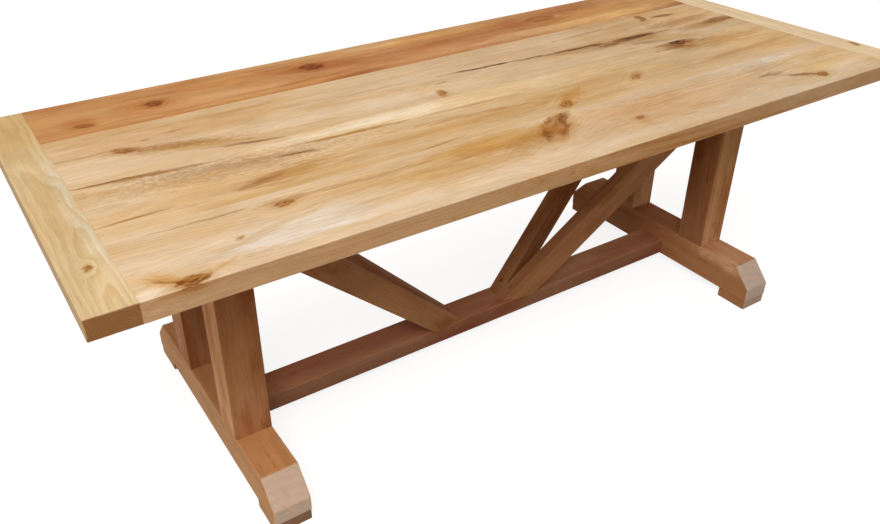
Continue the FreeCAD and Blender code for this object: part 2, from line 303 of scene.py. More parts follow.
def hand_plane(mesh, seed, ways=(1, 1, 1)):
    """Move each point a little inwards, as a plane leaves a timber."""
    mesh.normal_update()
    shift = Vector((seed * 3.7, seed * 1.9, seed * 2.3))
    moves = {vert: noise.noise(vert.co * PLANE_WAVES + shift) for vert in mesh.verts}
    for vert, height in moves.items():
        vert.co -= vert.normal * Vector(ways) * PLANING * (0.5 + 0.5 * height)


def piece(name, mesh, finish, slot, *replaced):
    """Turn a mesh into a finished piece of the table, in the place of some nodes."""
    bmesh.ops.dissolve_degenerate(mesh, dist=SPECK, edges=mesh.edges)
    bmesh.ops.recalc_face_normals(mesh, faces=mesh.faces)
    data = mesh_data(name, mesh)
    for polygon in data.polygons:
        polygon.use_smooth = True
    made = add_object(name, data)
    data.materials.append(finish)
    data.set_sharp_from_angle(angle=SMOOTH)
    normals = made.modifiers.new("flat faces", "WEIGHTED_NORMAL")
    normals.keep_sharp = True
    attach(made, "root")
    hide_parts(*replaced)


# ---- finishes -------------------------------------------------------------
def tone(red, green, blue):
    """A colour as it looks on a screen, each part from 0 to 255."""
    def linear(level):
        level /= 255
        return level / 12.92 if level <= 0.04045 else ((level + 0.055) / 1.055) ** 2.4
    return (linear(red), linear(green), linear(blue), 1)


class Finish:
    """One material, with short ways to add its nodes."""

    def __init__(self, name):
        self.material = bpy.data.materials.new(name)
        self.material.use_nodes = True
        self.tree = self.material.node_tree
        self.shader = self.tree.nodes["Principled BSDF"]

    def feed(self, socket, value):
        """Link a socket to an output, or give it a plain value."""
        if isinstance(value, bpy.types.NodeSocket):
            self.tree.links.new(value, socket)
        else:
            socket.default_value = value

    def node(self, kind, inputs, **settings):
        """Add a node with its settings and inputs."""
        made = self.tree.nodes.new(kind)
        for key, value in settings.items():
            setattr(made, key, value)
        for socket, value in inputs:
            self.feed(made.inputs[socket], value)
        return made

    def math(self, operation, *values):
        """A sum on plain numbers."""
        return self.node("ShaderNodeMath", enumerate(values), operation=operation).outputs[0]

    def vector(self, operation, *values):
        """A sum on vectors or colours."""
        made = self.node("ShaderNodeVectorMath", enumerate(values), operation=operation)
        return made.outputs["Value" if operation in ("LENGTH", "DOT_PRODUCT") else "Vector"]

    def scaled(self, vector, amount):
        """A vector or colour times a plain number."""
        made = self.node("ShaderNodeVectorMath", (("Vector", vector), ("Scale", amount)), operation="SCALE")
        return made.outputs["Vector"]

    def placed(self, vector, middle, turn=(0, 0, 0), size=(1, 1, 1)):
        """A vector measured from a middle, along turned axes, in the given sizes."""
        inputs = (("Vector", vector), ("Location", middle), ("Rotation", turn), ("Scale", size))
        return self.node("ShaderNodeMapping", inputs, vector_type="TEXTURE").outputs[0]

    def cloud(self, vector, cells, detail=2, roughness=0.5):
        """A noise node with so many cells to the metre along each axis."""
        stretched = self.vector("MULTIPLY", vector, cells)
        inputs = (("Vector", stretched), ("Scale", 1), ("Detail", detail), ("Roughness", roughness))
        return self.node("ShaderNodeTexNoise", inputs)

    def noise(self, vector, cells, detail=2, roughness=0.5):
        """Smooth noise, mostly from 0.25 to 0.75."""
        return self.cloud(vector, cells, detail, roughness).outputs[0]

    def wander(self, vector, cells, reach):
        """Push a vector about by smooth noise, up to about half the reach each way."""
        push = self.vector("SUBTRACT", self.cloud(vector, cells).outputs[1], (0.5, 0.5, 0.5))
        return self.vector("ADD", vector, self.vector("MULTIPLY", push, reach))

    def varied(self, value, noise, amount):
        """A value that noise moves up and down."""
        return self.math("MULTIPLY_ADD", self.math("SUBTRACT", noise, 0.5), amount, value)

    def ramp(self, value, low, high, start=0, end=1):
        """A smooth step from start to end as the value goes from low to high."""
        made = self.node("ShaderNodeMapRange", enumerate((value, low, high, start, end)),
                         interpolation_type="SMOOTHSTEP")
        return made.outputs[0]

    def mix(self, amount, first, second):
        """A colour between two others."""
        made = self.node("ShaderNodeMix", ((0, amount), (6, first), (7, second)), data_type="RGBA")
        return made.outputs[2]

    def stained(self, amount, colour, stain):
        """A colour under a stain, which lets through a part of each primary."""
        made = self.node("ShaderNodeMix", ((0, amount), (6, colour), (7, (*stain, 1))),
                         data_type="RGBA", blend_type="MULTIPLY")
        return made.outputs[2]


# A wood's look: two ground colours, the stains of its late wood and of its lengthwise
# bands, the tint of its sides (partly painted shade where it darkens them and painted light
# where it lightens them), its end grain's colour and rings, how strongly its patches,
# blotches, bands, fine lines, rings and flecks show, how far eddies in the grain carry
# the rings, the width of its growth rings, its roughness and its gloss.
Look = namedtuple("Look", "pale deep late band side end end_rings patches blotches bands lines rings flecks "
                          "eddies ring_width rough gloss")

# A mark in the wood: its middle on the top, its half length and half width, the
# turn of its long side in degrees, its stain, its strength and how ragged it is.
Mark = namedtuple("Mark", "x y length width turn stain strength ragged")

# A knot: its middle, half length, half width and turn, how dark it is, how dark its
# heart is, how far its halo reaches in its own sizes, and how far it pushes the rings.
Knot = namedtuple("Knot", "x y length width turn depth pith halo lift")

CROSSED = 10                # degrees past which a mark's fibres follow its own length
MOTTLED = 1                 # a mark at least this ragged is mottled and not streaked
MARK_DEPTH = 60 * MM        # how far marks reach into a board
KNOT_DEPTH = 14 * MM        # how far knots reach into a board
BEND = 0.85                 # how far a knot pushes the grain aside; 1 would fold it


class WoodFinish(Finish):
    """The wood of one piece, with growth rings about its heart line.

    The grain runs along the piece's own X axis. heart is the (across, below) distance
    to the heart line and its slant along the grain. plane is the height that the marks
    and knots lie at.
    """

    def __init__(self, name, middle, turn, heart, look, seed, knots, plane):
        super().__init__(name)
        self.look = look
        self.knots = knots
        self.plane = plane
        self.axes = Euler(turn).to_matrix()
        source = self.node("ShaderNodeTexCoord", ())
        self.table = source.outputs["Object"]
        self.normal = source.outputs["Normal"]
        own_place = (seed * 1.73, seed * 0.61, seed * 0.37)
        self.ragged = self.wander(self.table, (11, 34, 34), (0.03, 0.012, 0.012))
        bent, humps = self.bent_round_knots()
        self.field = self.vector("ADD", self.placed(bent, middle, turn), own_place)
        swayed = self.wander(self.field, (1.1, 5, 5), (0, 0.05, 0.05))
        self.swayed = self.wander(swayed, (7, 40, 40), (0, 0.004, 0.004))
        self.ring = self.growth_rings(self.vector("SUBTRACT", self.swayed, own_place), heart, humps)
        self.fibre = self.noise(self.swayed, (9, 380, 380), 3, 0.6)
        self.pore = self.ramp(self.noise(self.field, (55, 1300, 1300), 1), 0.6, 0.72)
        self.broken = self.noise(self.swayed, (16, 150, 150), 3, 0.65)
        self.end_facing = self.facing(self.axes @ X)
        self.end = self.ramp(self.end_facing, 0.35, 0.8)

    def spot(self, spot, length, width, depth):
        """Places measured from a mark's or a knot's middle, in the given sizes."""
        return self.placed(self.ragged, (spot.x, spot.y, self.plane), (0, 0, math.radians(spot.turn)),
                           (length, width, depth))

    def facing(self, way):
        """1 on faces that look along a way, or against it, and 0 on those square to it."""
        return self.math("ABSOLUTE", self.vector("DOT_PRODUCT", self.normal, tuple(way)))

    def bent_round_knots(self):
        """Places as the grain bends round the knots, and the humps that its rings make."""
        sideways = tuple(self.axes @ Y)
        bent = self.table
        humps = []
        for knot in self.knots:
            reach = self.vector("LENGTH", self.spot(knot, knot.length * 2.6, knot.width * 2.4, 0.2))
            hump = self.math("EXPONENT", self.math("MULTIPLY", self.math("MULTIPLY", reach, reach), -1))
            from_knot = self.vector("SUBTRACT", self.table, (knot.x, knot.y, self.plane))
            aside = self.vector("DOT_PRODUCT", from_knot, sideways)
            push = self.math("MULTIPLY", self.math("MULTIPLY", hump, aside), BEND)
            bent = self.vector("SUBTRACT", bent, self.scaled(sideways, push))
            humps.append(self.math("MULTIPLY", hump, knot.lift))
        return bent, humps

    def growth_rings(self, place, heart, humps):
        """A value that rises from 0 to 1 through each year's growth."""
        across, below, slant = heart
        from_heart = self.placed(place, (0, across, -below), (0, slant, slant))
        radius = self.vector("LENGTH", self.vector("MULTIPLY", from_heart, (0, 1, 1)))
        eddy = self.noise(self.field, (4.5, 12, 12), 1)
        radius = self.math("MULTIPLY_ADD", eddy, self.look.eddies, radius)
        for hump in humps:
            radius = self.math("ADD", radius, hump)
        turns = self.math("FRACT", self.math("DIVIDE", radius, self.look.ring_width))
        return self.math("MULTIPLY", self.ramp(turns, 0.1, 0.85), self.ramp(turns, 1, 0.88))

    def ground(self):
        """Broad patches, lengthwise bands, growth rings, fibres, pores and flecks."""
        look = self.look
        patch = self.ramp(self.noise(self.field, (1.1, 8, 8), 3), 0.32, 0.68)
        colour = self.mix(self.math("MULTIPLY", patch, look.patches), look.pale, look.deep)
        mottle = self.noise(self.swayed, (7, 24, 24), 5, 0.65)
        colour = self.scaled(colour, self.ramp(mottle, 0.3, 0.7, 0.93, 1.05))
        warm = self.noise(self.field, (3.5, 11, 11), 5, 0.6)
        colour = self.stained(self.ramp(warm, 0.48, 0.66, 0, look.blotches), colour, look.band)
        band = self.noise(self.swayed, (0.7, 26, 26), 3, 0.6)
        colour = self.stained(self.ramp(band, 0.5, 0.72, 0, look.bands), colour, look.band)
        line = self.noise(self.swayed, (2.6, 80, 80), 4, 0.65)
        colour = self.stained(self.ramp(line, 0.54, 0.76, 0, look.lines), colour, look.band)
        showing = self.ramp(self.noise(self.field, (0.9, 6, 6)), 0.3, 0.7, look.rings * 0.3, look.rings)
        colour = self.stained(self.math("MULTIPLY", self.ring, showing), colour, look.late)
        colour = self.scaled(colour, self.ramp(self.fibre, 0.25, 0.75, 0.92, 1.06))
        colour = self.stained(self.math("MULTIPLY", self.pore, 0.4), colour, look.late)
        fleck = self.noise(self.swayed, (17, 150, 150), 2, 0.5)
        return self.stained(self.ramp(fleck, 0.66, 0.76, 0, look.flecks), colour, UMBER)

    def marked(self, colour, marks, deep):
        """Add streaks, which follow the grain, and crossed marks, which follow their own length."""
        for mark in marks:
            at = self.spot(mark, mark.length, mark.width, deep)
            inside = self.math("SUBTRACT", 1, self.vector("LENGTH", at))
            if mark.ragged >= MOTTLED:
                own = self.math("MULTIPLY_ADD", self.noise(self.field, (70, 190, 190), 3, 0.6), 0.7, 0.15)
            elif abs(mark.turn) > CROSSED:
                own = self.noise(at, (2.2, 5, 1), 4, 0.65)
            else:
                own = self.broken
            torn = self.varied(inside, own, mark.ragged * 3)
            colour = self.stained(self.ramp(torn, 0, 0.7, 0, mark.strength), colour, mark.stain)
        return colour

    def knotted(self, colour):
        """Add each knot's halo in the grain, its body and rings, its broken rim and its pith."""
        for knot in self.knots:
            at = self.spot(knot, knot.length, knot.width, KNOT_DEPTH)
            at = self.wander(at, (1.1, 1.1, 1.1), (0.9, 0.9, 0))
            reach = self.vector("LENGTH", at)
            torn = self.varied(reach, self.broken, knot.halo * 1.3)
            colour = self.stained(self.ramp(torn, knot.halo, 0.6, 0, 0.8), colour, HALO)
            torn = self.varied(reach, self.noise(at, (2.4, 2.4, 2), 4, 0.7), 1.5)
            colour = self.stained(self.ramp(torn, 1.4, 0.7, 0, knot.depth), colour, CORE)
            rim = self.math("MULTIPLY", self.ramp(torn, 1.3, 0.9), self.ramp(torn, 0.3, 0.8))
            where = self.ramp(self.noise(at, (0.7, 0.7, 1), 1), 0.44, 0.58, 0, knot.depth)
            colour = self.stained(self.math("MULTIPLY", rim, where), colour, UMBER)
            swirl = self.ramp(self.math("SINE", self.math("MULTIPLY", torn, 10)), -0.2, 1)
            curl = self.math("MULTIPLY", swirl, self.ramp(torn, 1.4, 0.8, 0, knot.depth * 0.35))
            colour = self.stained(curl, colour, UMBER)
            colour = self.stained(self.ramp(torn, 0.45, 0.05, 0, knot.pith), colour, DARK)
        return colour

    def sided(self, colour, lit_face):
        """Give the sides their tint, partly painted shade and light, and their streaks, and paint light on
        the one face that catches it.
        """
        upright = self.facing(Z)
        # painted shade and light: faces that don't look up take the side tint, which darkens the top's edges,
        # the breadboards' and the stretcher's sides, and lightens the left foot's and pads' sides; on the
        # top's edges it is partly the wood's warmer tone
        colour = self.stained(self.ramp(upright, 0.75, 0.35), colour, self.look.side)
        streak = self.ramp(self.noise(self.swayed, (1.2, 50, 50), 4, 0.6), 0.52, 0.66)
        if self.look.side == EDGE:
            shown = self.math("MULTIPLY", self.ramp(upright, 0.75, 0.35, 0, 0.95), streak)
            colour = self.stained(shown, colour, RUSSET)
        # painted light: the face that catches the light is painted paler, with its streaks
        if lit_face:
            way, paler = lit_face
            streaked = self.stained(self.math("MULTIPLY", streak, 0.55), colour, UMBER)
            towards = self.ramp(self.vector("DOT_PRODUCT", self.normal, way), 0.6, 0.95)
            colour = self.mix(towards, colour, self.vector("MULTIPLY", streaked, paler))
        return colour

    def ended(self, colour):
        """Add the end grain, with its rings and its sawn strokes."""
        look = self.look
        grain = self.stained(self.math("MULTIPLY", self.ring, look.end_rings), look.end, look.late)
        strokes = self.noise(self.placed(self.field, (0, 0, 0), (0.9, 0, 0)), (30, 45, 420), 2)
        grain = self.scaled(grain, self.ramp(strokes, 0.3, 0.7, 0.94, 1.03))
        clouded = self.noise(self.field, (30, 45, 45), 3)
        grain = self.scaled(grain, self.ramp(clouded, 0.3, 0.7, 0.95, 1.03))
        return self.mix(self.math("MULTIPLY", self.end, 0.9), colour, grain)

    def worn_and_highlit(self, colour):
        """Rub the arrises pale here and there, as hands and cloths do; the pale arrises are also partly a
        painted highlight.
        """
        arris = self.node("ShaderNodeAttribute", (), attribute_name="arris").outputs["Fac"]
        rubbed_and_highlit = self.ramp(self.noise(self.field, (22, 40, 40), 2), 0.4, 0.65, 0.05, 0.32)
        return self.mix(self.math("MULTIPLY", arris, rubbed_and_highlit), colour, self.look.pale)

    def surfaced(self, colour):
        """Give the shader its colour, gloss and roughness, and the grain its relief."""
        self.feed(self.shader.inputs["Base Color"], colour)
        self.feed(self.shader.inputs["Specular IOR Level"], self.look.gloss)
        dull = self.varied(self.look.rough, self.fibre, 0.22)
        dull = self.math("MULTIPLY_ADD", self.end, 0.15, dull)
        self.feed(self.shader.inputs["Roughness"], self.math("MULTIPLY_ADD", self.pore, 0.1, dull))
        height = self.math("SUBTRACT", self.math("MULTIPLY_ADD", self.ring, 0.3, self.fibre), self.pore)
        relief = self.ramp(self.end_facing, 0.35, 0.8, 0.22, 0.04)
        bump = self.node("ShaderNodeBump", (("Strength", relief), ("Distance", 0.0005), ("Height", height)))
        self.feed(self.shader.inputs["Normal"], bump.outputs[0])


def wood(name, middle, turn, heart, look, seed, marks=(), knots=(), plane=0, deep=MARK_DEPTH, lit_face=None):
    """The finish of a piece of wood, with its own marks and knots.

    deep is how far the marks reach above and below the plane that they lie in. lit_face
    is the way that the face which catches the light looks, and how much paler it is painted: painted light.
    """
    finish = WoodFinish(name, middle, turn, heart, look, seed, knots, plane)
    colour = finish.marked(finish.ground(), marks, deep)
    colour = finish.knotted(colour)
    colour = finish.sided(colour, lit_face)
    colour = finish.ended(colour)
    finish.surfaced(finish.worn_and_highlit(colour))
    return finish.material


def steel(name):
    """Zinc-plated steel, a little clouded."""
    finish = Finish(name)
    place = finish.node("ShaderNodeTexCoord", ()).outputs["Object"]
    cloud = finish.noise(place, (300, 300, 300), 3)
    finish.feed(finish.shader.inputs["Base Color"],
                finish.mix(finish.ramp(cloud, 0.35, 0.65), tone(196, 196, 192), tone(222, 221, 214)))
    finish.feed(finish.shader.inputs["Roughness"], finish.ramp(cloud, 0.3, 0.7, 0.28, 0.46))
    finish.shader.inputs["Metallic"].default_value = 1
    return finish.material


# ---- the woods ------------------------------------------------------------
# Stains, as the part of red, green and blue that each lets through
CLEAR = (1, 1, 1)
GOLD = (0.9, 0.8, 0.58)
AMBER = (0.84, 0.66, 0.34)
TAN = (0.76, 0.62, 0.4)
HALO = (0.78, 0.62, 0.36)
CORE = (0.74, 0.55, 0.34)
UMBER = (0.53, 0.36, 0.17)
BROWN = (0.34, 0.2, 0.09)
DARK = (0.28, 0.16, 0.06)
GREY = (0.66, 0.54, 0.42)
HONEY = (0.92, 0.79, 0.65)
ROSE = (0.84, 0.6, 0.5)
RUSSET = (0.86, 0.66, 0.46)
RUST = (0.62, 0.36, 0.2)
LIGHT = (1.22, 1.32, 1.22)
MILK = (1.06, 1.2, 1.48)
CREAM = (1.2, 1.34, 1.6)
# painted light, for the front end of the right foot
PAINTED_LIGHT = (1.48, 1.8, 2.4)
SUNNY = (1.13, 1.06, 0.92)
DULL = (0.8, 0.62, 0.42)
# the top's edges, darker and warmer than its face: partly painted shade
EDGE = (0.86, 0.68, 0.52)

PALE_TOP = Look(pale=tone(228, 198, 162), deep=tone(215, 179, 136), late=DULL, band=GOLD, side=EDGE,
                end=tone(156, 104, 60), end_rings=0.4, patches=0.9, blotches=0.6, bands=0.6, lines=0.45,
                rings=0.28, flecks=0.35, eddies=6 * MM, ring_width=4.6 * MM, rough=0.55, gloss=0.06)
GOLD_TOP = PALE_TOP._replace(pale=tone(227, 195, 153), deep=tone(214, 177, 130))
CREAM_TOP = PALE_TOP._replace(pale=tone(231, 206, 174), deep=tone(219, 184, 143))
RED_TOP = PALE_TOP._replace(pale=tone(203, 150, 94), deep=tone(186, 125, 72), band=RUSSET,
                            end=tone(130, 80, 44), bands=0.8)
END_BOARD = PALE_TOP._replace(pale=tone(221, 193, 150), deep=tone(210, 180, 135), late=(0.82, 0.7, 0.5),
                              side=(0.82, 0.74, 0.62), patches=0.6, blotches=0.2, bands=0.2, lines=0.2,
                              rings=0.65, flecks=0.15, eddies=22 * MM, ring_width=6.5 * MM)
FAR_END = END_BOARD._replace(pale=tone(252, 227, 190), deep=tone(245, 214, 170), rings=0.5, ring_width=9 * MM)
BASE = Look(pale=tone(184, 124, 78), deep=tone(150, 93, 56), late=(0.7, 0.52, 0.36), band=(0.74, 0.56, 0.4),
            side=CLEAR, end=tone(222, 190, 164), end_rings=0.12, patches=1, blotches=0.8, bands=0.35,
            lines=0.1, rings=0.06, flecks=0.8, eddies=10 * MM, ring_width=14 * MM, rough=0.65, gloss=0.04)
# Painted light: the feet are one wood, but the left foot's look is painted paler than the right foot's, and
# its sides paler still, for the light that falls on the left trestle
RIGHT_FOOT_WOOD = BASE._replace(pale=tone(208, 150, 102), deep=tone(184, 122, 78), end=tone(230, 206, 186),
                                blotches=0.4)
LEFT_FOOT_WOOD = BASE._replace(pale=tone(230, 176, 120), deep=tone(210, 148, 96), side=(1, 1.1, 1.25),
                               end=tone(224, 197, 172), blotches=0.35)
# Painted shade: the left pads' ends are painted much darker than the right pads'
RIGHT_PAD_WOOD = RIGHT_FOOT_WOOD._replace(end=tone(212, 184, 160))
LEFT_PAD_WOOD = LEFT_FOOT_WOOD._replace(end=tone(150, 112, 84))
BRACE_WOOD = BASE._replace(pale=tone(196, 138, 92), deep=tone(166, 110, 72), end=tone(150, 104, 70),
                           flecks=0.45)
LOW_WOOD = BASE._replace(pale=tone(210, 153, 112), deep=tone(182, 119, 86), band=ROSE,
                         side=(0.75, 0.76, 0.78), flecks=0.5)
KEY_WOOD = BASE._replace(pale=tone(150, 104, 64), deep=tone(128, 84, 48), end=tone(112, 74, 44),
                         ring_width=3 * MM)

# The size and height of the pale patch of painted bounce light at each post's foot, and how much paler the
# face of each post that catches the light is painted
BOUNCE_LIGHT_PATCH = 130 * MM
BOUNCE_LIGHT_PATCH_HEIGHT = 220 * MM
LEFT_LIT_FACE = (1.56, 1.85, 2.1)
RIGHT_LIT_FACE = (1.5, 1.8, 1.95)

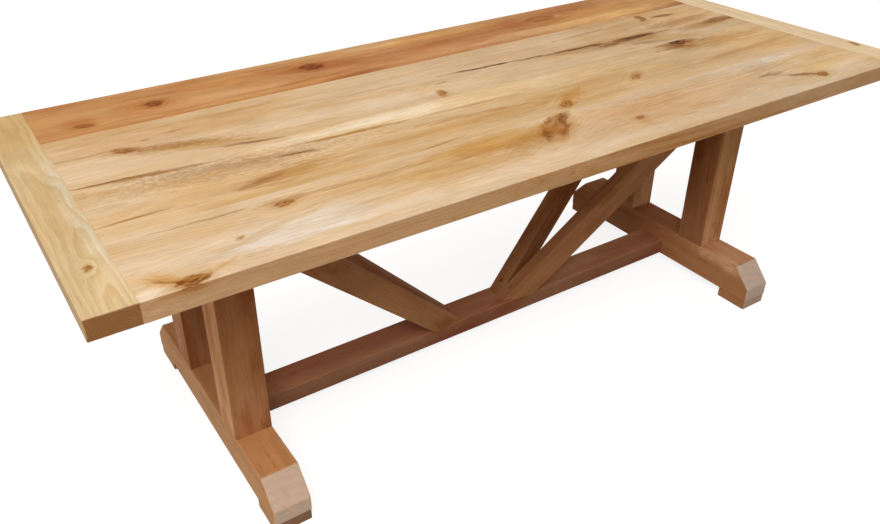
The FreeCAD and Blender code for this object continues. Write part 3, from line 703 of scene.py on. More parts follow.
BOARD_FIGURE = {
    1: ([Mark(-0.3, -0.43, 0.6, 0.04, 0, CREAM, 0.5, 0.3),
         Mark(0.4, -0.35, 0.6, 0.09, 1, HONEY, 0.95, 0.6),
         Mark(0.2, -0.31, 0.26, 0.05, -3, HONEY, 0.7, 0.6),
         Mark(0.93, -0.36, 0.24, 0.16, 0, SUNNY, 1, 0.15),
         Mark(-0.4, -0.31, 0.42, 0.065, -3, AMBER, 0.6, 0.2),
         Mark(-0.16, -0.295, 0.28, 0.055, -3, AMBER, 0.95, 0.25),
         Mark(-0.78, -0.38, 0.2, 0.02, 14, HALO, 0.5, 0.9),
         Mark(-0.32, -0.355, 0.24, 0.03, -6, GOLD, 0.9, 0.5),
         Mark(-0.12, -0.335, 0.11, 0.05, 24, TAN, 0.8, 0.5),
         Mark(-0.58, -0.29, 0.3, 0.01, -2, UMBER, 0.4, 0.8),
         Mark(-0.968, -0.44, 0.062, 0.025, -34, AMBER, 0.9, 0.6),
         Mark(-0.965, -0.446, 0.05, 0.007, -34, UMBER, 0.7, 0.6),
         Mark(-0.875, -0.442, 0.05, 0.008, 20, AMBER, 0.6, 0.6),
         Mark(-1.012, -0.462, 0.035, 0.022, 0, CREAM, 1, 0.4),
         Mark(-0.92, -0.395, 0.1, 0.032, -10, MILK, 0.45, 0.5),
         Mark(0.8, -0.275, 0.1, 0.03, 0, CREAM, 0.9, 0.5),
         Mark(-0.72, -0.4, 0.22, 0.065, 0, MILK, 1, 0.35),
         Mark(-0.74, -0.4, 0.18, 0.06, 0, MILK, 0.3, 0.3),
         Mark(-0.86, -0.277, 0.12, 0.006, -2, UMBER, 0.5, 0.7),
         Mark(0.04, -0.262, 0.06, 0.018, 38, UMBER, 0.7, 0.6),
         Mark(0.181, -0.385, 0.03, 0.03, 0, AMBER, 0.5, 0.6),
         Mark(0.69, -0.352, 0.07, 0.014, -4, BROWN, 0.55, 0.9),
         Mark(0.75, -0.395, 0.06, 0.014, -22, BROWN, 0.85, 0.9),
         Mark(0.75, -0.29, 0.16, 0.035, 6, GREY, 0.35, 1.1),
         Mark(0.92, -0.42, 0.12, 0.04, 0, MILK, 0.7, 0.4)],
        [Knot(-0.014, -0.299, 0.078, 0.027, 44, 0.68, 0.25, 2.0, 0.03),
         Knot(-0.694, -0.295, 0.022, 0.011, 8, 0.7, 0.7, 3.0, 0.014),
         Knot(-0.935, -0.461, 0.029, 0.013, 8, 0.9, 0.9, 1.7, 0.02),
         Knot(-0.816, -0.372, 0.007, 0.004, 30, 0.5, 0.3, 2.5, 0.004),
         Knot(0.181, -0.369, 0.012, 0.006, 0, 0.5, 0.4, 2.6, 0.006),
         Knot(0.799, -0.423, 0.018, 0.013, 20, 0.8, 1, 2.0, 0.01)]),
    2: ([Mark(-0.72, -0.088, 0.34, 0.06, -5, GREY, 0.5, 1.3),
         Mark(-0.95, -0.12, 0.1, 0.06, 0, MILK, 0.4, 0.5),
         Mark(-0.84, -0.058, 0.22, 0.03, -4, MILK, 0.9, 0.6),
         Mark(-0.76, -0.07, 0.2, 0.03, -10, UMBER, 0.3, 1.4),
         Mark(-0.88, -0.03, 0.19, 0.011, -5, UMBER, 0.9, 0.5),
         Mark(-0.96, -0.021, 0.08, 0.006, -2, BROWN, 0.6, 0.5),
         Mark(-0.63, -0.18, 0.16, 0.04, 6, TAN, 0.9, 0.7),
         Mark(-0.7, -0.185, 0.08, 0.016, 12, UMBER, 0.6, 0.8),
         Mark(-0.568, -0.104, 0.08, 0.008, -8, BROWN, 0.7, 0.7),
         Mark(-0.43, -0.073, 0.17, 0.009, -4, UMBER, 0.9, 0.7),
         Mark(-0.12, -0.086, 0.22, 0.008, -2, UMBER, 0.5, 0.8),
         Mark(-0.15, -0.135, 0.24, 0.014, -5, TAN, 0.8, 0.9),
         Mark(-0.96, -0.196, 0.09, 0.007, 2, UMBER, 0.8, 0.5),
         Mark(-0.3, -0.237, 0.1, 0.005, 6, BROWN, 0.5, 0.6),
         Mark(-0.2, -0.17, 0.4, 0.05, -2, GOLD, 0.7, 0.5),
         Mark(-0.04, -0.05, 0.7, 0.055, -1, CREAM, 1, 0.4),
         Mark(-0.42, -0.055, 0.5, 0.05, -2, CREAM, 0.8, 0.3),
         Mark(0.92, -0.13, 0.24, 0.16, 0, SUNNY, 1, 0.15),
         Mark(0.67, -0.035, 0.1, 0.045, 8, UMBER, 0.8, 0.9),
         Mark(0.66, -0.045, 0.06, 0.01, -30, BROWN, 0.6, 0.9),
         Mark(0.69, -0.015, 0.034, 0.014, 62, DARK, 0.9, 0.7),
         Mark(0.14, -0.175, 0.09, 0.04, 30, AMBER, 0.8, 0.6),
         Mark(0.8, -0.07, 0.25, 0.05, -1, TAN, 0.9, 0.7),
         Mark(0.3, -0.14, 0.4, 0.04, -1, GOLD, 0.6, 0.5),
         Mark(0.8, -0.17, 0.3, 0.016, 3, TAN, 0.7, 0.7)],
        [Knot(0.099, -0.209, 0.022, 0.012, 38, 0.55, 0.6, 2.2, 0.01),
         Knot(0.377, -0.166, 0.022, 0.009, 35, 0.45, 0.6, 2.2, 0.008),
         Knot(0.691, -0.022, 0.03, 0.022, 15, 0.9, 1, 2.6, 0.02)]),
    3: ([Mark(-0.75, 0.062, 0.2, 0.034, -16, TAN, 1, 0.7),
         Mark(-0.76, 0.08, 0.16, 0.024, -12, UMBER, 0.5, 1.4),
         Mark(-0.64, 0.006, 0.1, 0.009, -12, BROWN, 0.8, 0.6),
         Mark(-0.99, 0.131, 0.12, 0.006, 0, UMBER, 0.4, 0.8),
         Mark(-0.25, 0.135, 0.14, 0.008, 0, UMBER, 0.3, 1),
         Mark(0.07, 0.118, 0.15, 0.009, -5, DARK, 0.9, 0.8),
         Mark(0.25, 0.104, 0.12, 0.008, -5, DARK, 0.8, 0.9),
         Mark(-0.07, 0.083, 0.03, 0.007, 8, UMBER, 0.6, 0.9),
         Mark(0.41, 0.095, 0.12, 0.014, -4, DARK, 0.95, 0.8),
         Mark(0.61, 0.082, 0.16, 0.016, 0, DARK, 1, 0.8),
         Mark(0.52, 0.07, 0.12, 0.012, 3, BROWN, 0.7, 0.9),
         Mark(0.5, 0.08, 0.34, 0.04, -3, TAN, 0.9, 0.6),
         Mark(0.62, 0.025, 0.09, 0.016, -12, BROWN, 0.5, 0.9),
         Mark(0.865, 0.193, 0.06, 0.012, -8, BROWN, 0.8, 0.6),
         Mark(0.5, 0.187, 0.13, 0.012, 3, UMBER, 0.5, 0.8),
         Mark(0.86, 0.12, 0.2, 0.034, 2, UMBER, 0.7, 0.6),
         Mark(0.9, 0.058, 0.16, 0.035, 0, TAN, 1, 0.5),
         Mark(0.98, 0.068, 0.12, 0.026, 2, UMBER, 1, 0.6),
         Mark(0.93, 0.16, 0.24, 0.12, 0, SUNNY, 1, 0.15),
         Mark(-0.25, 0.05, 0.4, 0.05, 0, CREAM, 0.6, 0.5),
         Mark(0.7, 0.03, 0.2, 0.04, -20, GOLD, 1, 0.6),
         Mark(0.5, 0.16, 0.6, 0.03, 0, HONEY, 0.6, 0.6),
         Mark(-0.76, 0.163, 0.045, 0.007, 0, UMBER, 0.6, 0.7),
         Mark(-0.83, 0.148, 0.015, 0.008, 0, UMBER, 0.6, 0.7),
         Mark(-0.6, 0.2, 0.2, 0.016, 0, TAN, 0.4, 0.8),
         Mark(-0.75, 0.16, 0.35, 0.07, 0, HONEY, 0.5, 0.5)],
        [Knot(-0.885, 0.116, 0.024, 0.011, -20, 0.6, 0.6, 2.4, 0.016),
         Knot(-0.113, 0.02, 0.02, 0.01, 75, 0.6, 0.6, 2.0, 0.012),
         Knot(0.777, 0.213, 0.028, 0.013, 70, 0.7, 0.8, 1.8, 0.016)]),
    4: ([Mark(-0.21, 0.266, 0.12, 0.02, 0, RUST, 0.6, 0.8),
         Mark(-0.28, 0.375, 0.2, 0.045, -6, RUSSET, 1, 0.5),
         Mark(0.22, 0.368, 0.3, 0.03, 0, RUSSET, 0.6, 0.4),
         Mark(0.4, 0.4, 0.11, 0.06, 0, RUSSET, 0.7, 0.4),
         Mark(0.62, 0.43, 0.22, 0.03, 0, RUSSET, 0.5, 0.4),
         Mark(-0.78, 0.37, 0.1, 0.03, 0, RUSSET, 0.8, 0.5),
         Mark(0.05, 0.3, 0.5, 0.06, 0, CREAM, 1, 0.4),
         Mark(0.58, 0.29, 0.6, 0.05, 0, CREAM, 1, 0.4),
         Mark(0.82, 0.272, 0.25, 0.025, 0, CREAM, 0.8, 0.4),
         Mark(-0.6, 0.3, 0.36, 0.05, 0, CREAM, 0.8, 0.4),
         Mark(-0.08, 0.425, 0.24, 0.04, 0, CREAM, 1, 0.4),
         Mark(0.13, 0.425, 0.3, 0.04, 0, LIGHT, 1, 0.4),
         Mark(0.9, 0.42, 0.18, 0.05, 0, CREAM, 0.9, 0.4),
         Mark(0.535, 0.385, 0.09, 0.022, 0, CREAM, 1, 0.7),
         # pale strip along the far edge, partly a painted highlight on its arris
         Mark(-0.25, 0.463, 0.8, 0.024, 0, MILK, 1, 0.3),
         Mark(0.78, 0.34, 0.42, 0.09, 0, LIGHT, 0.95, 0.4),
         Mark(0.7, 0.28, 0.3, 0.04, 0, LIGHT, 0.6, 0.5),
         Mark(-0.45, 0.275, 0.4, 0.022, 1, LIGHT, 0.5, 0.6),
         Mark(-0.55, 0.4, 0.15, 0.05, 0, LIGHT, 0.5, 0.5),
         Mark(-0.4, 0.29, 0.3, 0.009, 1, UMBER, 0.4, 0.8),
         Mark(-0.93, 0.335, 0.06, 0.03, 0, RUSSET, 0.8, 0.5),
         Mark(-0.75, 0.33, 0.12, 0.04, 0, RUSSET, 0.7, 0.5),
         # pale strip along the far edge, partly a painted highlight on its arris
         Mark(-0.45, 0.465, 0.55, 0.016, 0, LIGHT, 0.6, 0.3)],
        [Knot(-0.744, 0.353, 0.02, 0.017, 0, 0.9, 0.7, 2.6, 0.02),
         Knot(-0.297, 0.38, 0.03, 0.02, -6, 0.9, 0.7, 2.6, 0.022),
         Knot(-0.923, 0.305, 0.024, 0.011, -6, 0.7, 0.5, 2.6, 0.018),
         Knot(0.512, 0.388, 0.055, 0.024, 0, 0.28, 0.1, 1.1, 0.04)]),
}

# Open checks and pith holes in each board: x, y, half length, half width, depth, turn
BOARD_HOLLOWS = {
    1: [(-0.925, -0.458, 11 * MM, 1.6 * MM, 1.2 * MM, 30), (-0.942, -0.462, 6 * MM, 1.1 * MM, 1 * MM, -20),
        (-0.694, -0.295, 6 * MM, 1 * MM, 0.8 * MM, 10), (0.799, -0.423, 7 * MM, 1.5 * MM, 1 * MM, 24)],
    2: [(0.691, -0.019, 8 * MM, 1.8 * MM, 1.2 * MM, 20), (0.68, -0.03, 5 * MM, 1.1 * MM, 0.8 * MM, -40),
        (-0.568, -0.104, 26 * MM, 0.8 * MM, 0.7 * MM, -8)],
    3: [(0.04, 0.121, 34 * MM, 1 * MM, 0.9 * MM, -5), (0.13, 0.113, 28 * MM, 1 * MM, 0.9 * MM, -6),
        (0.39, 0.094, 30 * MM, 1.5 * MM, 1.2 * MM, -4), (0.54, 0.086, 26 * MM, 1.6 * MM, 1.2 * MM, -2),
        (0.625, 0.082, 48 * MM, 1.8 * MM, 1.4 * MM, 0), (-0.113, 0.02, 5 * MM, 1.1 * MM, 0.9 * MM, 75)],
    4: [(-0.297, 0.38, 9 * MM, 1.3 * MM, 1 * MM, 25), (-0.744, 0.353, 7 * MM, 1.2 * MM, 1 * MM, -35)],
}


# ---- where the fasteners and tenons are -----------------------------------
def board_middle(number):
    """How far across the top a board's middle lies."""
    low, high = corners(f"top_board_{number}")
    return (low.y + high.y) / 2


def board_peg(number, side):
    """Where a peg enters a breadboard end, under one board's tongue."""
    return Vector((side * (PANEL_END + TONGUE_END) / 2, board_middle(number), TOP_UNDERSIDE))


def stretcher_peg(side):
    """Where a peg enters a foot, under the stretcher's tenon."""
    low, high = corners("stretcher_pegs")
    return Vector((side * (high.x - STRETCHER_PEG_RADIUS), 0, low.z))


def top_screw_seats(side):
    """Where the pan heads bear under one bearer."""
    low, high = corners(f"bearer_{'left' if side < 0 else 'right'}")
    x = (low.x + high.x) / 2
    return [Vector((x, face * y, low.z + TOP_SCREW_DEPTH)) for _, face in FACES for y in TOP_SCREW_Y]


def brace_screw_head():
    """The middle of a screw's head in the toe of the right back brace."""
    along = BRACE_SCREW_SETBACK - BRACE_DEPTH / 2 / math.sin(BRACE_SLOPE)
    rise = BRACE_SCREW_SETBACK * math.tan(BRACE_SLOPE) - BRACE_SCREW_HEAD
    return BRACE_FOOT + Vector((along * math.cos(BRACE_SPLAY), along * math.sin(BRACE_SPLAY), rise))


def brace_tenon(reach):
    """The stub tenon of the right back brace, with more length for a cutter or a root."""
    start = BRACE_HEAD - Z * BRACE_TENON_DROP
    size = BRACE_TENON + X * reach
    return block_about(start + X * (BRACE_TENON.x - reach) / 2, size)


def wedged_tenon(middle, shoulder, mouth, wedge_length, over):
    """A post's through tenon, which flares towards its mouth."""
    inward = math.copysign(1, shoulder - mouth)
    thickness, width = POST_TENON
    bend = mouth + inward * wedge_length
    low_z, high_z = sorted((mouth, shoulder + inward * ROOT))
    half = Vector((thickness / 2, width / 2, 0))
    mesh = block(Vector((*middle, low_z)) - half, Vector((*middle, high_z)) + half)
    bmesh.ops.bisect_plane(mesh, geom=everything(mesh), dist=ON_CUT, plane_co=(0, 0, bend), plane_no=Z)
    for vert in mesh.verts:
        if abs(vert.co.z - mouth) < SAME_POINT:
            vert.co.y += math.copysign(WEDGE_SPREAD, vert.co.y - middle[1])
            vert.co.z -= inward * over
    return mesh


def post_tenons(node, over=0):
    """Both tenons of a post: the one in its foot and the one in its bearer."""
    low, high = corners(node)
    middle = ((low.x + high.x) / 2, (low.y + high.y) / 2)
    return (wedged_tenon(middle, FOOT_TOP, low.z, FOOT_WEDGE_LENGTH, over),
            wedged_tenon(middle, BEARER_UNDERSIDE, high.z, BEARER_WEDGE_LENGTH, over))


def stretcher_tenon(side, reach):
    """The stretcher's stub tenon in one foot, with more length for a cutter or a root."""
    low, high = corners("stretcher")
    inner = corners("foot_right")[0].x
    width, thickness = STRETCHER_TENON
    length = high.x - inner + reach
    return block_about(Vector((side * (high.x - length / 2), 0, (low.z + high.z) / 2)),
                       Vector((length, width, thickness)))


# ---- the top --------------------------------------------------------------
def top_board(number, look, heart):
    """A long board of the top, with a tongue in each breadboard end."""
    node = f"top_board_{number}"
    low, high = corners(node)
    low.x = -PANEL_END
    high.x = PANEL_END
    low.y = max(low.y, HAIR - TOP_EDGE)
    high.y = min(high.y, TOP_EDGE - HAIR)
    outer = max(abs(low.y), abs(high.y)) > TOP_EDGE - MM
    mesh = block(low, high)
    ease(mesh, TOP_ARRIS, lambda at, along: abs(along.x) > ALONG and abs(abs(at.y) - TOP_EDGE) < MM)
    ease(mesh, JOINT_ARRIS, lambda at, along: abs(abs(at.y) - TOP_EDGE) > 5 * MM and at.z > high.z - MM, 1)
    slices(mesh, X)
    slices(mesh, Y)
    hand_plane(mesh, number, Z)
    middle_z = (low.z + high.z) / 2
    limit = TOP_EDGE - TONGUE_SETBACK
    for _, side in SIDES:
        ends = sorted((side * (PANEL_END - ROOT), side * TONGUE_END))
        tongue = block((ends[0], max(low.y, -limit), middle_z - TONGUE_THICKNESS / 2),
                       (ends[1], min(high.y, limit), middle_z + TONGUE_THICKNESS / 2))
        mesh = join(mesh, tongue)
    holes = [board_hole(number, side, PEG_SLOT if outer else 0) for _, side in SIDES]
    screws = [rod(seat, TOP_SCREW_LENGTH, SCREW_RADIUS, FEW_FACETS) for _, side in SIDES
              for seat in top_screw_seats(side) if low.y < seat.y < high.y]
    pits = [hollow(Vector((x, y, high.z)), *sizes) for x, y, *sizes in BOARD_HOLLOWS[number]]
    mesh = cut(mesh, *holes, *screws, *pits)
    marks, knots = BOARD_FIGURE[number]
    finish = wood(f"board {number} wood", (low + high) / 2, LENGTHWISE, heart, look, number,
                  marks, knots, high.z)
    piece(f"board_{number}", mesh, finish, "top_board_wood", node)


def board_hole(number, side, stretch):
    """A peg's hole through a tongue, stretched where the board must move."""
    start = board_peg(number, side)
    mesh = rod(start, corners("breadboard_pegs")[1].z - start.z, PEG_RADIUS)
    for vert in mesh.verts:
        vert.co.y += math.copysign(stretch, vert.co.y - start.y)
    return mesh


def breadboard(side_name, side, look, heart, marks, knots, seed):
    """A cross board at one end of the top, with a stopped groove."""
    node = f"breadboard_end_{side_name}"
    low, high = corners(node)
    low.x += HAIR * (side < 0)
    high.x -= HAIR * (side > 0)
    mesh = block(low, high)
    ease(mesh, TOP_ARRIS, lambda at, along: abs(abs(at.x) - PANEL_END) > MM)
    ease(mesh, JOINT_ARRIS, lambda at, along: abs(abs(at.x) - PANEL_END) < MM and abs(along.y) > ALONG, 1)
    slices(mesh, Y)
    hand_plane(mesh, seed, (0, 1, 1))
    reach = TONGUE_END + GROOVE_DEPTH_GAP - PANEL_END + OVER
    half_length = TOP_EDGE - TONGUE_SETBACK + GROOVE_END_GAP
    groove = block_about(Vector((side * (PANEL_END - OVER + reach / 2), 0, (low.z + high.z) / 2)),
                         Vector((reach, 2 * half_length, TONGUE_THICKNESS)))
    mesh = cut(mesh, groove)
    peg_top = corners("breadboard_pegs")[1].z
    mesh = cut(mesh, *(rod(board_peg(number, side) - Z * OVER, peg_top - TOP_UNDERSIDE + OVER, PEG_RADIUS)
                       for number in BOARD_FIGURE))
    finish = wood(f"{side_name} breadboard wood", (low + high) / 2, CROSSWISE, heart,
                  look, seed, marks, knots, high.z)
    piece(f"breadboard_{side_name}", mesh, finish, "breadboard_wood", node)


# ---- the trestles ---------------------------------------------------------
def foot(side_name, side, seed):
    """A sledge foot with its top ends cut away, mortised for posts and stretcher."""
    node = f"foot_{side_name}"
    low, high = corners(node)
    mesh = block(low, high)
    run, drop = FOOT_CHAMFER
    for face in (-1, 1):
        saw(mesh, Vector((0, face * (high.y - run), high.z)), Vector((0, face * drop, run)))
    ease(mesh, LEG_ARRIS, lambda at, along: at.z > low.z + MM)
    slices(mesh, Y)
    hand_plane(mesh, seed)
    mortises = [post_tenons(f"post_{side_name}_{face_name}", OVER)[0] for face_name, _ in FACES]
    mesh = cut(mesh, *mortises, stretcher_tenon(side, OVER))
    mesh = cut(mesh, rod(stretcher_peg(side) - Z * OVER, STRETCHER_PEG_LENGTH + OVER, STRETCHER_PEG_RADIUS))
    if side < 0:
        look = LEFT_FOOT_WOOD
        marks = []
    else:
        look = RIGHT_FOOT_WOOD
        # painted light on the front end of the right foot
        marks = [Mark(TRESTLE_X, -0.305, 0.19, 0.1, 90, PAINTED_LIGHT, 1, 0.3)]
    finish = wood(f"{side_name} foot wood", (low + high) / 2, CROSSWISE, (0.02, 0.07, 0.02),
                  look, seed, marks, (), high.z)
    piece(f"{side_name}_foot", mesh, finish, "base_wood", node)


def bearer(side_name, side, seed):
    """The rail under the top, with its ends cut up from below."""
    node = f"bearer_{side_name}"
    low, high = corners(node)
    mesh = block(low, high)
    run, rise = BEARER_CHAMFER
    for face in (-1, 1):
        saw(mesh, Vector((0, face * (high.y - run), low.z)), Vector((0, face * rise, -run)))
    ease(mesh, LEG_ARRIS, lambda at, along: at.z < high.z - MM)
    slices(mesh, Y)
    hand_plane(mesh, seed)
    mesh = cut(mesh, *(post_tenons(f"post_{side_name}_{face_name}", OVER)[1] for face_name, _ in FACES))
    seats = top_screw_seats(side)
    for half_x, half_y, start, stop in ((*TOP_SCREW_RECESS, low.z - OVER, seats[0].z),
                                        (*TOP_SCREW_SLOT, seats[0].z - OVER, high.z + OVER)):
        half = Vector((half_x, half_y, 0))
        mesh = cut(mesh, *(block(Vector((*seat.xy, start)) - half, Vector((*seat.xy, stop)) + half)
                           for seat in seats))
    finish = wood(f"{side_name} bearer wood", (low + high) / 2, CROSSWISE, (-0.03, 0.05, 0.01), BASE, seed)
    piece(f"{side_name}_bearer", mesh, finish, "base_wood", node)


def post(side_name, side, face_name, face, seed):
    """An upright with a wedged tenon at each end and a mortise for its brace."""
    node = f"post_{side_name}_{face_name}"
    low, high = corners(node)
    low.z = FOOT_TOP
    high.z = BEARER_UNDERSIDE
    mesh = block(low, high)
    ease(mesh, LEG_ARRIS, lambda at, along: abs(along.z) > ALONG)
    slices(mesh, Z)
    hand_plane(mesh, seed)
    mesh = join(mesh, *post_tenons(node))
    mesh = cut(mesh, merged_copy("foot_wedges", "bearer_wedges"))
    mortise = brace_tenon(OVER)
    flip(mortise, side, face)
    mesh = cut(mesh, mortise)
    heart = (0.03 * face, 0.05 + 0.01 * (seed % 3), 0.015)
    middle = (low + high) / 2
    # painted bounce light: a pale patch at the post's foot, as light from the floor would leave
    bounce_light_patch = Mark(middle.x, middle.y, BOUNCE_LIGHT_PATCH, BOUNCE_LIGHT_PATCH, 0, CREAM, 0.9, 0.2)
    # painted light on the face that catches it: -X on the left posts, -Y on the right
    lit_face = (tuple(-X), LEFT_LIT_FACE) if side < 0 else (tuple(-Y), RIGHT_LIT_FACE)
    finish = wood(f"{side_name} {face_name} post wood", middle, UPRIGHT, heart, BASE, seed,
                  [bounce_light_patch], (), FOOT_TOP, BOUNCE_LIGHT_PATCH_HEIGHT, lit_face)
    piece(f"{side_name}_{face_name}_post", mesh, finish, "base_wood", node)


def pad(side_name, side, face_name, seed):
    """A block under one end of a foot."""
    node = f"pad_{side_name}_{face_name}"
    low, high = corners(node)
    mesh = block(low, high)
    ease(mesh, PAD_ARRIS, lambda at, along: True)
    slices(mesh, Y)
    hand_plane(mesh, seed, (1, 1, 0))
    finish = wood(f"{side_name} {face_name} pad wood", (low + high) / 2, CROSSWISE,
                  (0.01, 0.04, 0.02), LEFT_PAD_WOOD if side < 0 else RIGHT_PAD_WOOD, seed)
    piece(f"{side_name}_{face_name}_pad", mesh, finish, "base_wood", node)


# ---- between the trestles -------------------------------------------------
def flip(mesh, side, face):
    """Carry a shape made on the right and at the back to another quarter."""
    bmesh.ops.transform(mesh, matrix=Matrix.Diagonal((side, face, 1, 1)), verts=mesh.verts)
    bmesh.ops.recalc_face_normals(mesh, faces=mesh.faces)


def stretcher(seed):
    """The low flat rail between the feet."""
    low, high = corners("stretcher")
    low.x = corners("foot_left")[1].x
    high.x = corners("foot_right")[0].x
    mesh = block(low, high)
    ease(mesh, LEG_ARRIS, lambda at, along: abs(along.x) > ALONG)
    slices(mesh, X)
    hand_plane(mesh, seed, (0, 1, 1))
    mesh = join(mesh, *(stretcher_tenon(side, ROOT) for _, side in SIDES))
    mesh = cut(mesh, *(rod(stretcher_peg(side), STRETCHER_PEG_LENGTH, STRETCHER_PEG_RADIUS)
                       for _, side in SIDES))
    mesh = cut(mesh, merged_copy("brace_foot_screws"))
    finish = wood("stretcher wood", (low + high) / 2, LENGTHWISE, (0.02, 0.06, 0.01), LOW_WOOD, seed)
    piece("low_stretcher", mesh, finish, "base_wood", "stretcher")


def brace(side_name, side, face_name, face, seed):
    """A sloping strut from the middle of the stretcher to the head of a post."""
    lean = Euler((0, -BRACE_SLOPE, BRACE_SPLAY))
    spare = 2 * BRACE_DEPTH
    length = (BRACE_HEAD - BRACE_FOOT).length
    half = Vector((0, BRACE_WIDTH / 2, BRACE_DEPTH / 2))
    mesh = block(-half - X * spare, half + X * (length + spare))
    ease(mesh, LEG_ARRIS, lambda at, along: abs(along.x) > ALONG)
    slices(mesh, X)
    hand_plane(mesh, seed)
    stand = Matrix.Translation(BRACE_FOOT) @ lean.to_matrix().to_4x4()
    bmesh.ops.transform(mesh, matrix=stand, verts=mesh.verts)
    saw(mesh, BRACE_FOOT, -Z)
    saw(mesh, BRACE_HEAD, X)
    saw(mesh, Vector((0, 0, 0)), -Y)
    head = brace_screw_head()
    mesh = join(mesh, brace_tenon(ROOT))
    mesh = cut(mesh, rod(head, BRACE_DEPTH, BRACE_SCREW_BORE))
    mesh = cut(mesh, rod(head + Z * OVER, -BRACE_SCREW_LENGTH, SCREW_RADIUS, FEW_FACETS))
    flip(mesh, side, face)
    slant = BRACE_SPLAY * face if side > 0 else math.pi - BRACE_SPLAY * face
    middle = (BRACE_FOOT + BRACE_HEAD) / 2 * Vector((side, face, 1))
    finish = wood(f"{side_name} {face_name} brace wood", middle, (0, -BRACE_SLOPE, slant),
                  (0.02, 0.05, 0.012), BRACE_WOOD, seed)
    piece(f"{side_name}_{face_name}_brace", mesh, finish, "base_wood", f"brace_{side_name}_{face_name}")


# ---- the fasteners --------------------------------------------------------
def key_wood(name, seed):
    """The wood of pegs or wedges, whose grain stands upright."""
    return wood(f"{name} wood", (0, 0, 0.4), UPRIGHT, (0.3, 0.3, 0.02), KEY_WOOD, seed)


def pegs(name, node, places, rise, radius, seed):
    """Round pegs with eased ends."""
    made = []
    for place in places:
        mesh = rod(place, rise, radius)
        ease(mesh, KEY_ARRIS, lambda at, along: abs(along.z) < SQUARE, 1)
        made.append(mesh)
    piece(name, together(made), key_wood(name, seed), "peg_wood", node)


def wedges(name, node, seed):
    """Wedges driven into a level of tenons, with their arrises eased."""
    mesh = merged_copy(node)
    mesh.faces.layers.float.new("arris")
    ease(mesh, KEY_ARRIS, lambda at, along: abs(along.x) < SQUARE, 1)
    piece(name, mesh, key_wood(name, seed), "peg_wood", node)


def turned(profile):
    """A closed shape turned about Z from (radius, height) points."""
    mesh = bmesh.new()
    verts = [mesh.verts.new((radius, 0, height)) for radius, height in profile]
    edges = [mesh.edges.new(pair) for pair in zip(verts, verts[1:])]
    bmesh.ops.spin(mesh, geom=verts + edges, cent=(0, 0, 0), axis=(0, 0, 1), angle=2 * math.pi,
                   steps=FACETS, use_merge=True)
    bmesh.ops.remove_doubles(mesh, verts=mesh.verts, dist=SAME_POINT)
    bmesh.ops.recalc_face_normals(mesh, faces=mesh.faces)
    return mesh


def thread(low, high):
    """A screw's helical ridge between two heights, sunk a little into its core."""
    mesh = bmesh.new()
    root = SCREW_CORE - 0.1 * MM
    half = SCREW_PITCH * 0.35
    ridge = ((root, 0, low - half), (SCREW_RADIUS, 0, low), (root, 0, low + half))
    ring = [mesh.verts.new(place) for place in ridge]
    edges = [mesh.edges.new(pair) for pair in zip(ring, ring[1:] + ring[:1])]
    turns = (high - low) / SCREW_PITCH
    steps = round(turns * FEW_FACETS)
    made = bmesh.ops.spin(mesh, geom=ring + edges, cent=(0, 0, 0), axis=(0, 0, 1), angle=2 * math.pi * turns,
                          dvec=(0, 0, (high - low) / steps), steps=steps)
    mesh.faces.new(ring)
    mesh.faces.new([part for part in made["geom_last"] if isinstance(part, bmesh.types.BMVert)])
    bmesh.ops.recalc_face_normals(mesh, faces=mesh.faces)
    return mesh


def screw(head, length, head_face, drive, stand):
    """A wood screw that points up from its seat, then stood in its place."""
    profile = head + [(SCREW_CORE, length - SCREW_POINT), (0, length)]
    body = turned(profile)
    for size in ((drive, drive / 4), (drive / 4, drive)):
        body = cut(body, block_about((0, 0, head_face), (*size, 2 * SCREW_RECESS)))
    mesh = together([body, thread(length * SCREW_SHANK, length - SCREW_POINT)])
    bmesh.ops.transform(mesh, matrix=stand, verts=mesh.verts)
    return mesh


def top_fixing_screws(finish):
    """Pan-head screws up through the bearers into the boards."""
    wide = TOP_SCREW_HEAD
    tall = TOP_SCREW_HEAD_HEIGHT
    head = [(0, -tall), (wide * 0.6, -tall), (wide * 0.85, -tall * 0.85), (wide * 0.97, -tall * 0.55),
            (wide, -tall * 0.2), (wide * 0.97, 0), (SCREW_CORE, 0)]
    made = []
    for turn, seat in enumerate(seat for _, side in SIDES for seat in top_screw_seats(side)):
        stand = Matrix.Translation(seat) @ Matrix.Rotation(turn, 4, "Z")
        made.append(screw(head, TOP_SCREW_LENGTH, -tall, wide, stand))
    piece("top_screws", together(made), finish, "zinc_steel", "top_fixing_screws")


def brace_foot_screws(finish):
    """Countersunk screws down through the braces' toes into the stretcher."""
    wide = BRACE_SCREW_HEAD
    head = [(0, 0), (wide * 0.96, 0), (wide, 0.15 * MM), (wide * 0.97, 0.45 * MM), (SCREW_CORE, 3 * MM)]
    down = Matrix.Rotation(math.pi, 4, "X")
    made = []
    for turn, (side, face) in enumerate(((-1, -1), (-1, 1), (1, -1), (1, 1))):
        place = brace_screw_head() * Vector((side, face, 1))
        stand = Matrix.Translation(place) @ Matrix.Rotation(turn + 0.4, 4, "Z") @ down
        made.append(screw(head, BRACE_SCREW_LENGTH, 0, wide * 1.1, stand))
    piece("brace_screws", together(made), finish, "zinc_steel", "brace_foot_screws")


# ---- the room -------------------------------------------------------------
FLOOR_SIZE = 40
FLOOR_COLOUR = (0.4, 0.38, 0.36, 1)
FLOOR_GLOW = 0.84                      # what makes the floor white to the eye
ROOM_LEVEL = 0.26
CAMERA_PLACE = Vector((-1.23858, -1.62213, 1.51349))
CAMERA_YAW = math.radians(32.52)       # from +Y towards +X
CAMERA_PITCH = math.radians(-31.77)
CAMERA_ROLL = math.radians(-0.46)
CAMERA_LENS = 33.9366
CAMERA_SENSOR = 36
CAMERA_SHIFT = (0.026013, -0.008271)


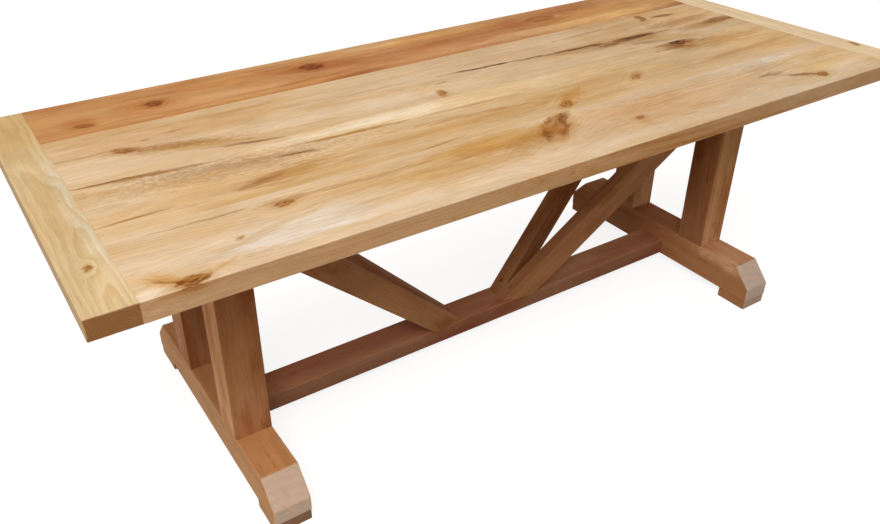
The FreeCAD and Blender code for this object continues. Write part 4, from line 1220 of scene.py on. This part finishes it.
def seen(tree):
    """1 for rays that come from the camera, a mirror or glass, otherwise 0."""
    path = tree.nodes.new("ShaderNodeLightPath")
    total = path.outputs["Is Camera Ray"]
    for kind in ("Is Glossy Ray", "Is Transmission Ray"):
        either = tree.nodes.new("ShaderNodeMath")
        either.operation = "MAXIMUM"
        tree.links.new(total, either.inputs[0])
        tree.links.new(path.outputs[kind], either.inputs[1])
        total = either.outputs[0]
    return total


def floor():
    """A plain pale floor that keeps the table's shadow."""
    mesh = bmesh.new()
    bmesh.ops.create_grid(mesh, x_segments=1, y_segments=1, size=FLOOR_SIZE / 2)
    data = mesh_data("floor", mesh)
    made = add_object("floor", data)
    finish = Finish("pale floor")
    finish.shader.inputs["Base Color"].default_value = FLOOR_COLOUR
    finish.shader.inputs["Roughness"].default_value = 0.9
    glow = finish.math("MULTIPLY", seen(finish.tree), FLOOR_GLOW)
    finish.shader.inputs["Emission Color"].default_value = (1, 1, 1, 1)
    finish.feed(finish.shader.inputs["Emission Strength"], glow)
    data.materials.append(finish.material)


def lamp(name, place, aim, size, power):
    """A large soft lamp that faces a point."""
    data = bpy.data.lights.new(name, "AREA")
    data.shape = "DISK"
    data.size = size
    data.energy = power
    made = add_object(name, data)
    made.location = place
    made.rotation_euler = (Vector(aim) - Vector(place)).to_track_quat("-Z", "Y").to_euler()


def light():
    """Soft studio light from above, with a plain white room round it."""
    world = bpy.data.worlds.new("studio")
    bpy.context.scene.world = world
    world.use_nodes = True
    tree = world.node_tree
    room = tree.nodes["Background"]
    room.inputs["Color"].default_value = (1, 1, 1, 1)
    level = tree.nodes.new("ShaderNodeMapRange")
    tree.links.new(seen(tree), level.inputs["Value"])
    level.inputs["To Min"].default_value = ROOM_LEVEL
    level.inputs["To Max"].default_value = 1
    tree.links.new(level.outputs[0], room.inputs["Strength"])
    lamp("overhead lamp", place=(-0.6, 0.4, 4.4), aim=(-0.2, 0, 0.7), size=3.4, power=56)
    lamp("front lamp", place=(-2.2, -2.8, 4.1), aim=(-0.5, -0.1, 0.3), size=2.4, power=118)
    lamp("left lamp", place=(-4.0, -1.0, 1.6), aim=(-0.8, 0, 0.4), size=1.6, power=22)


def camera():
    """The view that shows the whole table from its left front corner."""
    data = bpy.data.cameras.new("camera")
    data.sensor_width = CAMERA_SENSOR
    data.lens = CAMERA_LENS
    data.shift_x, data.shift_y = CAMERA_SHIFT
    made = add_object("camera", data)
    turn = (Matrix.Rotation(-CAMERA_YAW, 4, "Z") @ Matrix.Rotation(math.pi / 2 + CAMERA_PITCH, 4, "X")
            @ Matrix.Rotation(CAMERA_ROLL, 4, "Z"))
    made.matrix_world = Matrix.Translation(CAMERA_PLACE) @ turn
    bpy.context.scene.camera = made
    bpy.context.scene.view_settings.view_transform = "Standard"


# ---- the table ------------------------------------------------------------
def table():
    """Dress every piece of the table. Each seed gives a timber a grain of its own."""
    top_board(1, CREAM_TOP, heart=(0.02, 0.10, 0.012))
    top_board(2, GOLD_TOP, heart=(-0.03, 0.12, 0.01))
    top_board(3, PALE_TOP, heart=(0.04, 0.14, -0.008))
    top_board(4, RED_TOP, heart=(0.0, 0.11, 0.01))
    breadboard("left", -1, END_BOARD, (0.0, 0.05, 0.02),
               [Mark(-1.07, 0.42, 0.3, 0.14, 90, GOLD, 0.8, 0.4),
                Mark(-1.07, -0.1, 0.24, 0.12, 90, TAN, 0.3, 0.3),
                Mark(-1.04, -0.1, 0.36, 0.03, 90, MILK, 1, 0.3)],
               [Knot(-1.073, -0.326, 0.01, 0.006, 90, 0.6, 0.6, 2.2, 0.008)], 11)
    breadboard("right", 1, FAR_END, (0.01, 0.06, -0.02), (),
               [Knot(1.099, -0.316, 0.016, 0.009, 90, 0.7, 0.6, 2, 0.012)], 12)
    for index, (side_name, side) in enumerate(SIDES):
        foot(side_name, side, 21 + index)
        bearer(side_name, side, 23 + index)
        for other, (face_name, face) in enumerate(FACES):
            place = 2 * index + other
            post(side_name, side, face_name, face, 25 + place)
            pad(side_name, side, face_name, 29 + place)
            brace(side_name, side, face_name, face, 33 + place)
    stretcher(37)
    board_pegs = [board_peg(number, side) for _, side in SIDES for number in BOARD_FIGURE]
    board_peg_length = corners("breadboard_pegs")[1].z - TOP_UNDERSIDE
    pegs("board_pegs", "breadboard_pegs", board_pegs, board_peg_length, PEG_RADIUS, 40)
    foot_pegs = [stretcher_peg(side) for _, side in SIDES]
    pegs("foot_pegs", "stretcher_pegs", foot_pegs, STRETCHER_PEG_LENGTH, STRETCHER_PEG_RADIUS, 41)
    wedges("lower_wedges", "foot_wedges", 42)
    wedges("upper_wedges", "bearer_wedges", 43)
    zinc = steel("zinc plated steel")
    top_fixing_screws(zinc)
    brace_foot_screws(zinc)


table()
floor()
light()
camera()
